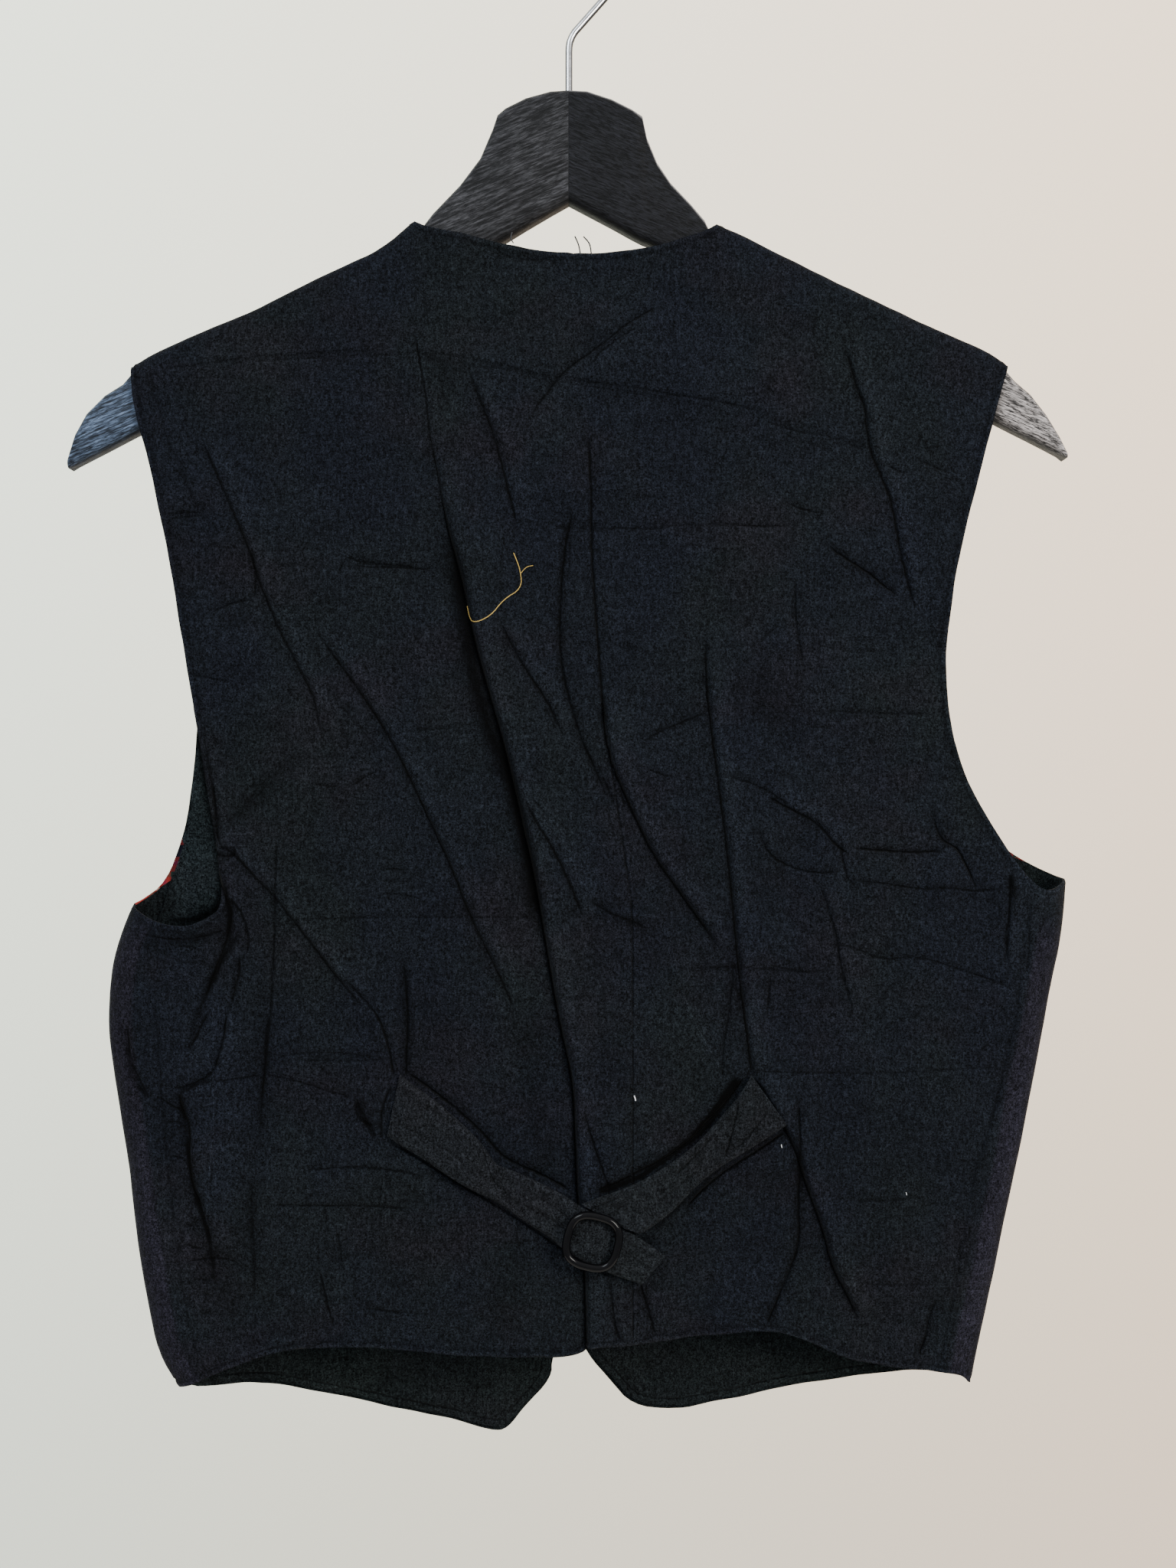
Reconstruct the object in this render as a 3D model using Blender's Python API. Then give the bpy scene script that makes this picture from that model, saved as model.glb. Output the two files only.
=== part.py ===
# A lined waistcoat on a wooden hanger, seen with its back towards -Y.
# The origin is the inside top of the hanger's hook, +Z is up, and all sizes are in metres
# except in the tables, whose columns are in millimetres.

import math

import bmesh
import bpy
import numpy as np
from mathutils import Vector
from mathutils.geometry import delaunay_2d_cdt

MM = 0.001

# Driving dimensions
CLOTH = 0.0012
LINING = 0.0010
LINING_GAP = 0.0008
SEAM_GAP = 0.0003

# The triangles' size, how near two points may come in shares of it, and the slopes' step
CLOTH_CELL = 0.017
POINT_CLEARANCE = 0.45
LINE_CLEARANCE = 0.2
SLOPE_STEP = 0.0004
SAME_PLACE = 1e-7
HALF_WIDTH = 0.25

SHOULDER_ROLL = 0.007
SHOULDER_ROWS = (0.0012, 0.0035, 0.007)
FLANK_ROLL = 0.022
FLANK_ROWS = (0.003, 0.009, 0.019)
ROLL_POWER = 2.4
NECK_TURN = 0.004
ARMHOLE_FADE = 0.05

LAP = 0.0038
LAP_START = -0.040
LAP_FULL = -0.014
LINING_INSET = 0.002
LINING_SIDE_INSET = 0.024
ARMHOLE_WIDEST = -0.350

# Folds: how steep a lip drops and how soon a fold fades, as shares and past its ends
LIP_DROP = 0.4
FOLD_FADE = 0.12
FOLD_END = 0.010

STRAP_CLOTH = 0.0014
BUCKLE_SIZE = 0.0255
BUCKLE_BAR = 0.0036
BUCKLE_STEPS = 24
BUTTON_RADIUS = 0.0075
BUTTON_HEIGHT = 0.0026
BUTTON_GAP = 0.00045
BUTTON_SEGMENTS = 18
BUTTON_COUNT = 5
BUTTON_TOP = -0.350
BUTTON_BOTTOM = -0.586

WOOD_THICKNESS = 0.012
WOOD_ROUNDING = 0.004
WIRE_RADIUS = 0.0016
HOOK_INNER_RADIUS = 0.0214
HOOK_KINK = -0.0558
HOOK_FOOT = -0.0796
HOOK_END_ANGLE = 205
HOOK_STEPS = 24

# Outlines, a row for each turn of the edge: x, z
NECK = ((-69, -138), (-65, -141.5), (-47, -145), (-28, -150), (-15, -152.5), (2, -154),
        (20, -153.5), (38, -151), (51, -147), (63, -143), (66, -139.5))
SHOULDER_LEFT = ((-69, -138), (-82, -149), (-112, -163.5), (-138, -176), (-183, -196),
                 (-193, -202))
SHOULDER_RIGHT = ((66, -139.5), (80, -145), (95, -153), (125, -168), (158, -183.5),
                  (185, -195), (194, -201.5))
CENTRE_SEAM = ((2, -154), (9, -231), (10, -283), (14, -343), (18, -374), (28, -442),
               (28, -479), (28, -558), (28, -631))
BACK_ARMHOLE_LEFT = ((-193, -202), (-191, -223), (-184, -245), (-177, -278), (-169, -323),
                     (-161, -370), (-154, -410), (-150, -440), (-158, -446), (-169, -450),
                     (-183, -446), (-193, -440))
BACK_ARMHOLE_RIGHT = ((194, -201.5), (190, -215), (179, -256), (169, -297), (165, -325),
                      (165, -349), (169, -372), (176, -390), (186, -407), (195, -421),
                      (203, -431), (210, -434), (220, -429))
FRONT_ARMHOLE_LEFT = ((-193, -202), (-189, -222), (-183, -243), (-173, -278), (-165, -323),
                      (-168, -365), (-171, -393), (-175, -411), (-182, -431), (-193, -440))
FRONT_ARMHOLE_RIGHT = ((194, -201.5), (187, -228), (173, -278), (164, -319), (163, -347),
                       (168, -372), (177, -392), (187, -407), (198, -417), (208, -423),
                       (220, -429))
FLANK_LEFT = ((-193, -440), (-199, -455), (-203, -472), (-204, -495), (-200, -523),
              (-195, -552), (-192, -581), (-187, -613), (-182, -638), (-173, -653))
FLANK_RIGHT = ((220, -429), (218, -455), (213, -477), (207, -510), (202, -536),
               (192, -584), (183, -627), (178, -652))
BACK_HEM = ((-173, -653), (-163, -649), (-156, -645), (-133, -636), (-112, -633),
            (-93, -632), (-60, -635), (-35, -637), (-8, -638), (7, -635.5), (9, -632),
            (28, -631), (63, -627), (87, -624.5), (100, -628), (121, -637), (139, -641),
            (162, -643), (173, -646), (178, -652))
FRONT_HEM_LEFT = ((-173, -653), (-168, -659), (-139, -657), (-118, -660), (-88, -667),
                  (-57, -673), (-35, -679), (-28, -679), (-20, -669), (-8, -657),
                  (-8, -648), (5, -618), (11, -590))
FRONT_HEM_RIGHT = ((178, -652), (168, -652), (148, -652), (110, -657), (65, -666),
                   (48, -670), (28, -667), (19, -657), (8, -645), (-5, -615), (-11, -590))
FRONT_EDGE_LEFT = ((11, -590), (11, -356), (6, -338), (-9, -303), (-31, -243), (-54, -180),
                   (-69, -138))
FRONT_EDGE_RIGHT = ((-11, -590), (-11, -356), (-6, -338), (9, -303), (30, -243), (52, -182),
                    (66, -139.5))

# How far each side stands from the middle plane: z, back, front
DEPTHS = ((-130, 8.3, 9.9), (-245, 9.3, 11), (-330, 12.5, 13.5), (-440, 15.5, 16),
          (-540, 15.5, 16.5), (-680, 13.5, 15))

# Folds of the back: kind, x and z of both ends, bow to the side, height, width.
# A lip stands proud on the side with the larger x and drops sharply on the other.
BACK_FOLDS = (
    ("lip", -66, -196, 3, -517, 0, 4.2, 26),
    ("lip", 3, -517, 9, -640, 3, 5.5, 24),
    ("lip", 13, -345, 68, -464, 5, 3.2, 15),
    ("lip", 61, -318, 80, -514, 3, 2.6, 16),
    ("crease", -112, -317, -20, -493, -6, 2.6, 8),
    ("crease", -160, -236, -107, -367, 4, 2.2, 8),
    ("crease", -146, -416, -76, -508, 4, 2.4, 8),
    ("lip", -163, -345, -149, -450, -3, 2.4, 10),
    ("crease", -71, -462, -72, -516, 0, 2.0, 7),
    ("lip", 82, -516, 127, -624, 0, 4.0, 18),
    ("crease", 103, -556, 88, -626, 3, 2.2, 8),
    ("lip", 123, -196, 152, -310, 3, 1.8, 14),
    ("crease", 77, -386, 165, -418, 3, 2.0, 8),
    ("ridge", -155, -470, -160, -600, 4, 2.0, 14),
    ("ridge", 150, -460, 140, -600, -4, 2.0, 16),
)
# Folds of the two fronts in the same columns
FRONT_FOLDS = (
    ("ridge", -150, -240, -128, -400, 5, 2.2, 14),
    ("ridge", 148, -236, 130, -396, -5, 2.2, 14),
    ("crease", -150, -440, -80, -520, 6, 2.4, 12),
    ("crease", 152, -436, 84, -505, -6, 2.4, 12),
    ("ridge", -120, -520, -100, -660, 4, 2.6, 16),
    ("ridge", 118, -510, 92, -655, -4, 2.6, 16),
    ("ridge", -64, -420, -70, -640, 3, 1.8, 14),
    ("ridge", 66, -430, 60, -650, -3, 1.8, 14),
)

# Each half of the cinch strap, a row for each place along it:
# x and z of its upper edge, x and z of its lower edge, how far it stands off the back.
# The left half runs under the buckle to its free end, the right half ends at the buckle.
STRAP_LEFT = ((-73.5, -513.5, -79, -540.5, 0.7), (-65, -519.5, -70.5, -545.5, 0.9),
              (-56.5, -525.3, -62, -550.2, 1.1), (-43.6, -536.5, -50, -558.5, 1.4),
              (-37, -543.5, -41.5, -563.5, 1.6), (-32, -552.5, -34, -567.5, 1.8),
              (-26, -554.5, -29, -570, 1.9), (-17, -558, -22, -575, 2.0),
              (-8.8, -561.8, -15.4, -579.1, 2.2), (-2, -565.5, -8.5, -583.5, 2.3),
              (3.5, -568.7, -2.5, -588, 2.0), (12.8, -573.5, 5.5, -592.6, 1.8),
              (22, -578, 14.8, -597.4, 1.8), (32, -584.5, 23.5, -601.2, 1.8),
              (42, -591.8, 31.8, -604, 1.8))
STRAP_RIGHT = ((79.5, -513.5, 95, -535, 0.7), (73.5, -523, 84.5, -541.5, 1.0),
               (65.6, -532.2, 75.5, -547.5, 1.3), (55.6, -543.5, 64.5, -554, 1.6),
               (46, -550.5, 55, -562, 1.8), (38, -555.5, 47.5, -570, 2.0),
               (30, -559.8, 41.5, -575, 2.0), (21.5, -563, 35, -579.5, 1.9),
               (13.5, -565.5, 31, -581.5, 1.8), (5.8, -568.5, 25.8, -579.6, 1.8))
BUCKLE_CENTRE = (10.5, -584)
BUCKLE_STAND = 0.0066
BUCKLE_TURN = 14
BUCKLE_SQUARENESS = 2.8

# A button's outline from its back to its dished face, in shares of its radius and height
BUTTON_PROFILE = ((0.0, 0.0), (0.82, 0.0), (1.0, 0.3), (1.0, 0.7), (0.9, 1.0), (0.7, 1.0),
                  (0.55, 0.75), (0.0, 0.75))

# Each half of the wooden hanger, a row for each section: x, top z, bottom z.
# Between the neck and the tip the top follows the shoulder seam instead.
HEAD_LEFT = ((-0.15, -80, -130), (-8, -80.5, -134.5), (-19, -83.5, -141), (-28, -88, -146.5),
             (-31.5, -91, -148.5), (-33.5, -97, -149.5), (-39, -110, -152.3),
             (-48, -122, -157), (-60, -134.5, -163.3), (-63.5, -139, -165.2),
             (-67.5, -147, -167.3))
HEAD_RIGHT = ((0.15, -80, -130), (8, -80.4, -134.2), (19, -84, -140), (28, -88.5, -145),
              (32.5, -91.5, -147.3), (34.5, -101, -148), (39, -112, -150.2),
              (45, -121, -153.3), (54, -130.5, -158), (60, -137.5, -161), (64.5, -147, -163.3))
TIP_LEFT = ((-197, -210, -235.3), (-205, -215, -239.5), (-213, -223, -243.6),
            (-218, -232, -246.2), (-221, -243, -247.5))
TIP_RIGHT = ((197, -208.5, -231.3), (204, -214.5, -234.8), (211, -223.5, -238.4),
             (217, -233.5, -241.5), (220, -241, -243))
ARM_STATIONS = 8
ARM_BELOW_SEAM = 0.0024

# The wire's line where the stem bends into the hook: x, height above the kink
HOOK_BEND = ((0, -13.8), (0, -6), (0.4, -2), (2.6, 2.6))


def clear_scene():
    for thing in list(bpy.data.objects):
        bpy.data.objects.remove(thing)


def material(name, colour, roughness, metallic=0.0):
    made = bpy.data.materials.new(name)
    made.use_nodes = True
    shader = made.node_tree.nodes["Principled BSDF"]
    shader.inputs["Base Color"].default_value = (*colour, 1.0)
    shader.inputs["Roughness"].default_value = roughness
    shader.inputs["Metallic"].default_value = metallic
    return made


def metres(table):
    return [tuple(value * MM for value in row) for row in table]


def rounded(share):
    # 0 at an edge, 1 where the roll ends, with a full round between them
    inside = np.clip(share, 0.0, 1.0)
    return (1.0 - (1.0 - inside) ** ROLL_POWER) ** (1.0 / ROLL_POWER)


def smooth(share):
    inside = np.clip(share, 0.0, 1.0)
    return inside * inside * (3.0 - 2.0 * inside)


def along(table, at, key, value):
    # The table's value column, read straight between rows, where its key column equals `at`
    rows = sorted(metres(table), key=lambda row: row[key])
    return np.interp(at, [row[key] for row in rows], [row[value] for row in rows])


def fold_relief(folds, x, z):
    relief = np.zeros_like(x)
    for kind, x0, z0, x1, z1, bow, height, width in folds:
        start = np.array((x0, z0)) * MM
        run = np.array((x1, z1)) * MM - start
        length = math.hypot(*run)
        ahead = ((x - start[0]) * run[0] + (z - start[1]) * run[1]) / length ** 2
        aside = ((z - start[1]) * run[0] - (x - start[0]) * run[1]) / length
        inside = np.clip(ahead, 0.0, 1.0)
        aside = aside - bow * MM * 4.0 * inside * (1.0 - inside)
        beyond = np.abs(ahead - inside) * length
        fade = smooth(inside / FOLD_FADE) * smooth((1.0 - inside) / FOLD_FADE)
        fade = fade * np.exp(-beyond / FOLD_END)
        spread = width * MM
        if kind == "lip":
            shape = smooth(aside / (LIP_DROP * spread) + 0.5)
            shape = shape * np.exp(-np.maximum(aside, 0.0) / spread)
        else:
            shape = np.exp(-(aside / spread) ** 2)
            if kind == "crease":
                shape = -shape
        relief += shape * fade * height * MM
    return relief


def shoulder_roll(x, z):
    left = rounded((along(SHOULDER_LEFT, x, 0, 1) - z) / SHOULDER_ROLL)
    right = rounded((along(SHOULDER_RIGHT, x, 0, 1) - z) / SHOULDER_ROLL)
    left_neck = SHOULDER_LEFT[0][0] * MM
    right_neck = SHOULDER_RIGHT[0][0] * MM
    left_share = np.clip(1.0 - (x - left_neck) / NECK_TURN, 0.0, 1.0)
    right_share = np.clip(1.0 - (right_neck - x) / NECK_TURN, 0.0, 1.0)
    return 1.0 - left_share * (1.0 - left) - right_share * (1.0 - right)


def flank_roll(x, z):
    left = rounded((x - along(FLANK_LEFT, z, 1, 0)) / FLANK_ROLL)
    right = rounded((along(FLANK_RIGHT, z, 1, 0) - x) / FLANK_ROLL)
    left_share = 1.0 - smooth((z - FLANK_LEFT[0][1] * MM) / ARMHOLE_FADE)
    right_share = 1.0 - smooth((z - FLANK_RIGHT[0][1] * MM) / ARMHOLE_FADE)
    return 1.0 - left_share * (1.0 - left) - right_share * (1.0 - right)


def back_depth(x, z):
    depth = along(DEPTHS, z, 0, 1) + fold_relief(BACK_FOLDS, x, z)
    return depth * shoulder_roll(x, z) * flank_roll(x, z)


def front_depth(x, z):
    depth = along(DEPTHS, z, 0, 2) + fold_relief(FRONT_FOLDS, x, z)
    return depth * shoulder_roll(x, z) * flank_roll(x, z)


def lapped_front_depth(x, z):
    return front_depth(x, z) + LAP * smooth((x - LAP_START) / (LAP_FULL - LAP_START))


def on_face(depth, side, x, z, sunk):
    # Points of a face, each moved `sunk` into the cloth along the face's own direction
    slope_x = (depth(x + SLOPE_STEP, z) - depth(x - SLOPE_STEP, z)) / (2.0 * SLOPE_STEP)
    slope_z = (depth(x, z + SLOPE_STEP) - depth(x, z - SLOPE_STEP)) / (2.0 * SLOPE_STEP)
    scale = sunk / np.sqrt(1.0 + slope_x ** 2 + slope_z ** 2)
    out = np.maximum(depth(x, z) - scale, SEAM_GAP / 2.0)
    return np.column_stack((x + slope_x * scale, side * out, z + slope_z * scale))


def cut_up(line, cell, near_start=(), near_end=()):
    # The line's own points, with others between them no further apart than a cell,
    # and more at given distances from its ends, where it runs over a roll
    points = []
    last = len(line) - 2
    for number, ((x0, z0), (x1, z1)) in enumerate(zip(line, line[1:])):
        length = math.hypot(x1 - x0, z1 - z0)
        count = max(1, math.ceil(length / cell))
        extra = list(near_start) if number == 0 else []
        if number == last:
            extra += [length - reach for reach in near_end]
        extra = [reach for reach in extra if 0.0 < reach < length]
        places = [length * step / count for step in range(count)]
        clear = LINE_CLEARANCE * cell
        places = [place for place in places
                  if place == 0.0 or all(abs(place - reach) > clear for reach in extra)]
        for place in sorted(places + extra):
            share = place / length
            points.append((x0 + (x1 - x0) * share, z0 + (z1 - z0) * share))
    points.append(line[-1])
    return points


def inside_outline(outline, x, z):
    odd = np.zeros(x.shape, dtype=bool)
    for (x0, z0), (x1, z1) in zip(outline, outline[1:] + outline[:1]):
        spans = (z0 > z) != (z1 > z)
        rise = z1 - z0 if z1 != z0 else 1.0
        odd ^= spans & (x < (x1 - x0) * (z - z0) / rise + x0)
    return odd


def edge_distance(outline, x, z):
    nearest = np.full(x.shape, 1.0)
    for (x0, z0), (x1, z1) in zip(outline, outline[1:] + outline[:1]):
        run_x, run_z = x1 - x0, z1 - z0
        length = max(run_x ** 2 + run_z ** 2, 1e-12)
        share = np.clip(((x - x0) * run_x + (z - z0) * run_z) / length, 0.0, 1.0)
        nearest = np.minimum(nearest, np.hypot(x - x0 - share * run_x, z - z0 - share * run_z))
    return nearest


def lattice(outline, cell, clear):
    # Staggered points that fill an outline and keep clear of its edge
    row_height = cell * math.sqrt(3.0) / 2.0
    low_z = min(point[1] for point in outline)
    rows = range(math.floor(low_z / row_height), 1)
    columns = range(math.floor(-HALF_WIDTH / cell), math.ceil(HALF_WIDTH / cell))
    x = np.array([(column + 0.5 * (row % 2)) * cell for row in rows for column in columns])
    z = np.array([row * row_height for row in rows for column in columns])
    keep = inside_outline(outline, x, z)
    x, z = x[keep], z[keep]
    keep = edge_distance(outline, x, z) > clear
    return x[keep], z[keep]


def fill_outline(outline, rows, cell):
    # Flat triangles over an outline, with extra rows of points along its rolled edges
    points = list(outline)
    edges = [(k, (k + 1) % len(outline)) for k in range(len(outline))]
    clear = POINT_CLEARANCE * cell
    x, z = lattice(outline, cell, clear)
    for row in rows:
        keep = inside_outline(outline, *np.array(row).T)
        held = [point for point, inner in zip(row, keep) if inner]
        edges += [(len(points) + k, len(points) + k + 1) for k in range(len(held) - 1)]
        points += held
        near = np.full(x.shape, 1.0)
        for px, pz in held:
            near = np.minimum(near, np.hypot(x - px, z - pz))
        x, z = x[near > clear], z[near > clear]
    points += list(zip(x, z))
    flat = delaunay_2d_cdt([Vector(point) for point in points], edges, [], 0, SAME_PLACE)
    spots = np.array([tuple(point) for point in flat[0]])
    corners = np.array([face for face in flat[2] if len(face) == 3])
    middle = spots[corners].mean(axis=1)
    return spots, corners[inside_outline(outline, middle[:, 0], middle[:, 1])]


def wall(name, outer, inner, triangles, finish):
    # Two faces of the same triangles, joined round their border into one closed piece
    count = len(outer)
    faces = [tuple(face) for face in triangles]
    faces += [tuple(count + k for k in reversed(face)) for face in triangles]
    used = {}
    for face in triangles:
        for start, end in zip(face, np.roll(face, -1)):
            used[(start, end)] = True
    for start, end in used:
        if (end, start) not in used:
            faces.append((end, start, count + start, count + end))
    mesh = bpy.data.meshes.new(name)
    mesh.from_pydata([tuple(point) for point in np.vstack((outer, inner))], [],
                     [tuple(int(k) for k in face) for face in faces])
    shape = bmesh.new()
    shape.from_mesh(mesh)
    loose = [vert for vert in shape.verts if not vert.link_faces]
    bmesh.ops.delete(shape, geom=loose, context="VERTS")
    bmesh.ops.recalc_face_normals(shape, faces=shape.faces)
    shape.to_mesh(mesh)
    shape.free()
    mesh.shade_smooth()
    mesh.set_sharp_from_angle(angle=math.radians(50))
    return add(name, mesh, finish)


def add(name, data, finish):
    thing = bpy.data.objects.new(name, data)
    thing.data.materials.append(finish)
    bpy.context.collection.objects.link(thing)
    return thing


def joined(*lines):
    # One closed outline from lines that end where the next one starts
    outline = []
    for line in lines:
        outline += line[:-1]
    return outline


def line_of(table, cell, near_start=(), near_end=()):
    return cut_up(metres(table), cell, near_start, near_end)


def shifted(line, dx, dz):
    return [(x + dx, z + dz) for x, z in line]


def rolled_rows(shoulder, flank, cell, toward_middle):
    rows = [shifted(line_of(shoulder, cell), 0.0, -drop) for drop in SHOULDER_ROWS]
    rows += [shifted(line_of(flank, cell), toward_middle * inset, 0.0) for inset in FLANK_ROWS]
    return rows


def centre_seam(cell, side):
    return shifted(line_of(CENTRE_SEAM, cell), side * SEAM_GAP / 2.0, 0.0)


def part_of(line, low, high):
    return [point for point in line if low - SAME_PLACE <= point[0] <= high + SAME_PLACE]


def make_back(finish):
    neck = line_of(NECK, CLOTH_CELL)
    hem = line_of(BACK_HEM, CLOTH_CELL, FLANK_ROWS[:1], FLANK_ROWS[:1])
    neck_x = CENTRE_SEAM[0][0] * MM
    hem_x = CENTRE_SEAM[-1][0] * MM
    halves = (
        ("back_left", -1, SHOULDER_LEFT, BACK_ARMHOLE_LEFT, FLANK_LEFT,
         part_of(hem, -1.0, hem_x), part_of(neck, -1.0, neck_x)),
        ("back_right", 1, SHOULDER_RIGHT, BACK_ARMHOLE_RIGHT, FLANK_RIGHT,
         part_of(hem, hem_x, 1.0)[::-1], part_of(neck, neck_x, 1.0)[::-1]),
    )
    for name, side, shoulder, armhole, flank, hem_part, neck_part in halves:
        seam = centre_seam(CLOTH_CELL, side)
        hem_part[-1] = seam[-1]
        neck_part[-1] = seam[0]
        outline = joined(seam, hem_part[::-1], line_of(flank, CLOTH_CELL)[::-1],
                         line_of(armhole, CLOTH_CELL, SHOULDER_ROWS, FLANK_ROWS[:2])[::-1],
                         line_of(shoulder, CLOTH_CELL)[::-1], neck_part)
        rows = rolled_rows(shoulder, flank, CLOTH_CELL, -side)
        spots, triangles = fill_outline(outline, rows, CLOTH_CELL)
        outer = on_face(back_depth, -1, spots[:, 0], spots[:, 1], 0.0)
        inner = on_face(back_depth, -1, spots[:, 0], spots[:, 1], CLOTH)
        wall(name, outer, inner, triangles, finish)


def make_front(name, side, depth, finish, lining_finish):
    left = side < 0
    shoulder = SHOULDER_LEFT if left else SHOULDER_RIGHT
    armhole = FRONT_ARMHOLE_LEFT if left else FRONT_ARMHOLE_RIGHT
    flank = FLANK_LEFT if left else FLANK_RIGHT
    hem = FRONT_HEM_LEFT if left else FRONT_HEM_RIGHT
    edge = FRONT_EDGE_LEFT if left else FRONT_EDGE_RIGHT
    outline = joined(line_of(shoulder, CLOTH_CELL),
                     line_of(armhole, CLOTH_CELL, SHOULDER_ROWS, FLANK_ROWS[:2]),
                     line_of(flank, CLOTH_CELL), line_of(hem, CLOTH_CELL, FLANK_ROWS[:1]),
                     line_of(edge, CLOTH_CELL, (), SHOULDER_ROWS))
    rows = rolled_rows(shoulder, flank, CLOTH_CELL, -side)
    spots, triangles = fill_outline(outline, rows, CLOTH_CELL)
    outer = on_face(depth, 1, spots[:, 0], spots[:, 1], 0.0)
    inner = on_face(depth, 1, spots[:, 0], spots[:, 1], CLOTH)
    wall("front_" + name, outer, inner, triangles, finish)
    inset_shoulder = shifted(metres(shoulder), 0.0, -SHOULDER_ROLL)
    inset_flank = shifted(metres(flank), -side * LINING_SIDE_INSET, 0.0)
    reach = abs(inset_flank[0][0])
    inset_armhole = [point for point in metres(armhole)[1:-1]
                     if abs(point[0]) < reach - LINING_INSET or point[1] > ARMHOLE_WIDEST]
    hem_reach = abs(inset_flank[-1][0]) - LINING_INSET
    inset_hem = [point for point in metres(hem)[1:-1] if abs(point[0]) < hem_reach]
    inset = [inset_shoulder, inset_armhole, inset_flank, inset_hem, metres(edge)[:-1]]
    corners = pulled_in([point for line in inset for point in line], LINING_INSET)
    outline = cut_up(corners + corners[:1], CLOTH_CELL)[:-1]
    spots, triangles = fill_outline(outline, [], CLOTH_CELL)
    outer = on_face(depth, 1, spots[:, 0], spots[:, 1], CLOTH + LINING_GAP)
    inner = on_face(depth, 1, spots[:, 0], spots[:, 1], CLOTH + LINING_GAP + LINING)
    wall("lining_" + name, outer, inner, triangles, lining_finish)


def pulled_in(corners, inset):
    # The outline moved towards its own inside by the inset
    later = corners[1:] + corners[:1]
    earlier = corners[-1:] + corners[:-1]
    area = sum(a[0] * b[1] - b[0] * a[1] for a, b in zip(corners, later))
    turn = 1.0 if area > 0.0 else -1.0
    moved = []
    for before, here, after in zip(earlier, corners, later):
        first = Vector((here[0] - before[0], here[1] - before[1])).normalized()
        second = Vector((after[0] - here[0], after[1] - here[1])).normalized()
        across = Vector((-first.y - second.y, first.x + second.x)).normalized() * turn * inset
        moved.append((here[0] + across.x, here[1] + across.y))
    return moved


def ribbon(name, route, finish):
    # A flat strip on the back, its points taken from the back's own face
    rows = metres(route)
    outer = []
    inner = []
    for upper_x, upper_z, lower_x, lower_z, stand in rows:
        shares = np.array((0.0, 0.5, 1.0))
        x = lower_x + (upper_x - lower_x) * shares
        z = lower_z + (upper_z - lower_z) * shares
        levels = back_depth(x, z)
        for k in range(len(shares)):
            level = float(max(levels[1], levels[k]))
            inner.append((float(x[k]), -level - stand, float(z[k])))
            outer.append((float(x[k]), -level - stand - STRAP_CLOTH, float(z[k])))
    triangles = []
    for k in range(len(rows) - 1):
        for side in range(2):
            corner = 3 * k + side
            triangles.append((corner, corner + 1, corner + 4))
            triangles.append((corner, corner + 4, corner + 3))
    wall(name, np.array(outer), np.array(inner), triangles, finish)


def make_straps(finish):
    ribbon("strap_left", STRAP_LEFT, finish)
    ribbon("strap_right", STRAP_RIGHT, finish)


def wire(name, points, radius, cyclic, sides, finish):
    curve = bpy.data.curves.new(name, "CURVE")
    curve.dimensions = "3D"
    curve.bevel_depth = radius
    curve.bevel_resolution = sides
    curve.use_fill_caps = not cyclic
    spline = curve.splines.new("POLY")
    spline.points.add(len(points) - 1)
    for spot, point in zip(spline.points, points):
        spot.co = (*point, 1.0)
    spline.use_cyclic_u = cyclic
    return add(name, curve, finish)


def make_buckle(finish):
    # A ring between round and square, turned a little
    reach = (BUCKLE_SIZE - BUCKLE_BAR) / 2.0
    x, z = (value * MM for value in BUCKLE_CENTRE)
    level = float(back_depth(np.array([x]), np.array([z]))[0])
    points = []
    for step in range(BUCKLE_STEPS):
        angle = math.tau * step / BUCKLE_STEPS
        stretch = (abs(math.cos(angle)) ** BUCKLE_SQUARENESS
                   + abs(math.sin(angle)) ** BUCKLE_SQUARENESS) ** (-1.0 / BUCKLE_SQUARENESS)
        turned = angle - math.radians(BUCKLE_TURN)
        points.append((x + reach * stretch * math.cos(turned), -level - BUCKLE_STAND,
                       z + reach * stretch * math.sin(turned)))
    wire("buckle", points, BUCKLE_BAR / 2.0, True, 1, finish)


def button_ring(shape, z, level, radius, height):
    # One turn of a button's profile, or its middle point where the radius is 0
    ring = []
    for k in range(BUTTON_SEGMENTS if radius > 0.0 else 1):
        angle = math.tau * k / BUTTON_SEGMENTS
        reach = radius * BUTTON_RADIUS
        ring.append(shape.verts.new((reach * math.cos(angle), level + height * BUTTON_HEIGHT,
                                     z + reach * math.sin(angle))))
    return ring


def make_buttons(finish):
    for number in range(BUTTON_COUNT):
        z = BUTTON_TOP + (BUTTON_BOTTOM - BUTTON_TOP) * number / (BUTTON_COUNT - 1)
        level = float(lapped_front_depth(np.array([0.0]), np.array([z]))[0]) + BUTTON_GAP
        mesh = bpy.data.meshes.new("button")
        shape = bmesh.new()
        rings = [button_ring(shape, z, level, *row) for row in BUTTON_PROFILE]
        for ring, following in zip(rings, rings[1:]):
            for k in range(BUTTON_SEGMENTS):
                corners = [ring[k % len(ring)], ring[(k + 1) % len(ring)],
                           following[(k + 1) % len(following)], following[k % len(following)]]
                shape.faces.new(list(dict.fromkeys(corners)))
        bmesh.ops.recalc_face_normals(shape, faces=shape.faces)
        shape.to_mesh(mesh)
        shape.free()
        mesh.shade_smooth()
        mesh.set_sharp_from_angle(angle=math.radians(35))
        add("button_%d" % (number + 1), mesh, finish)


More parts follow.
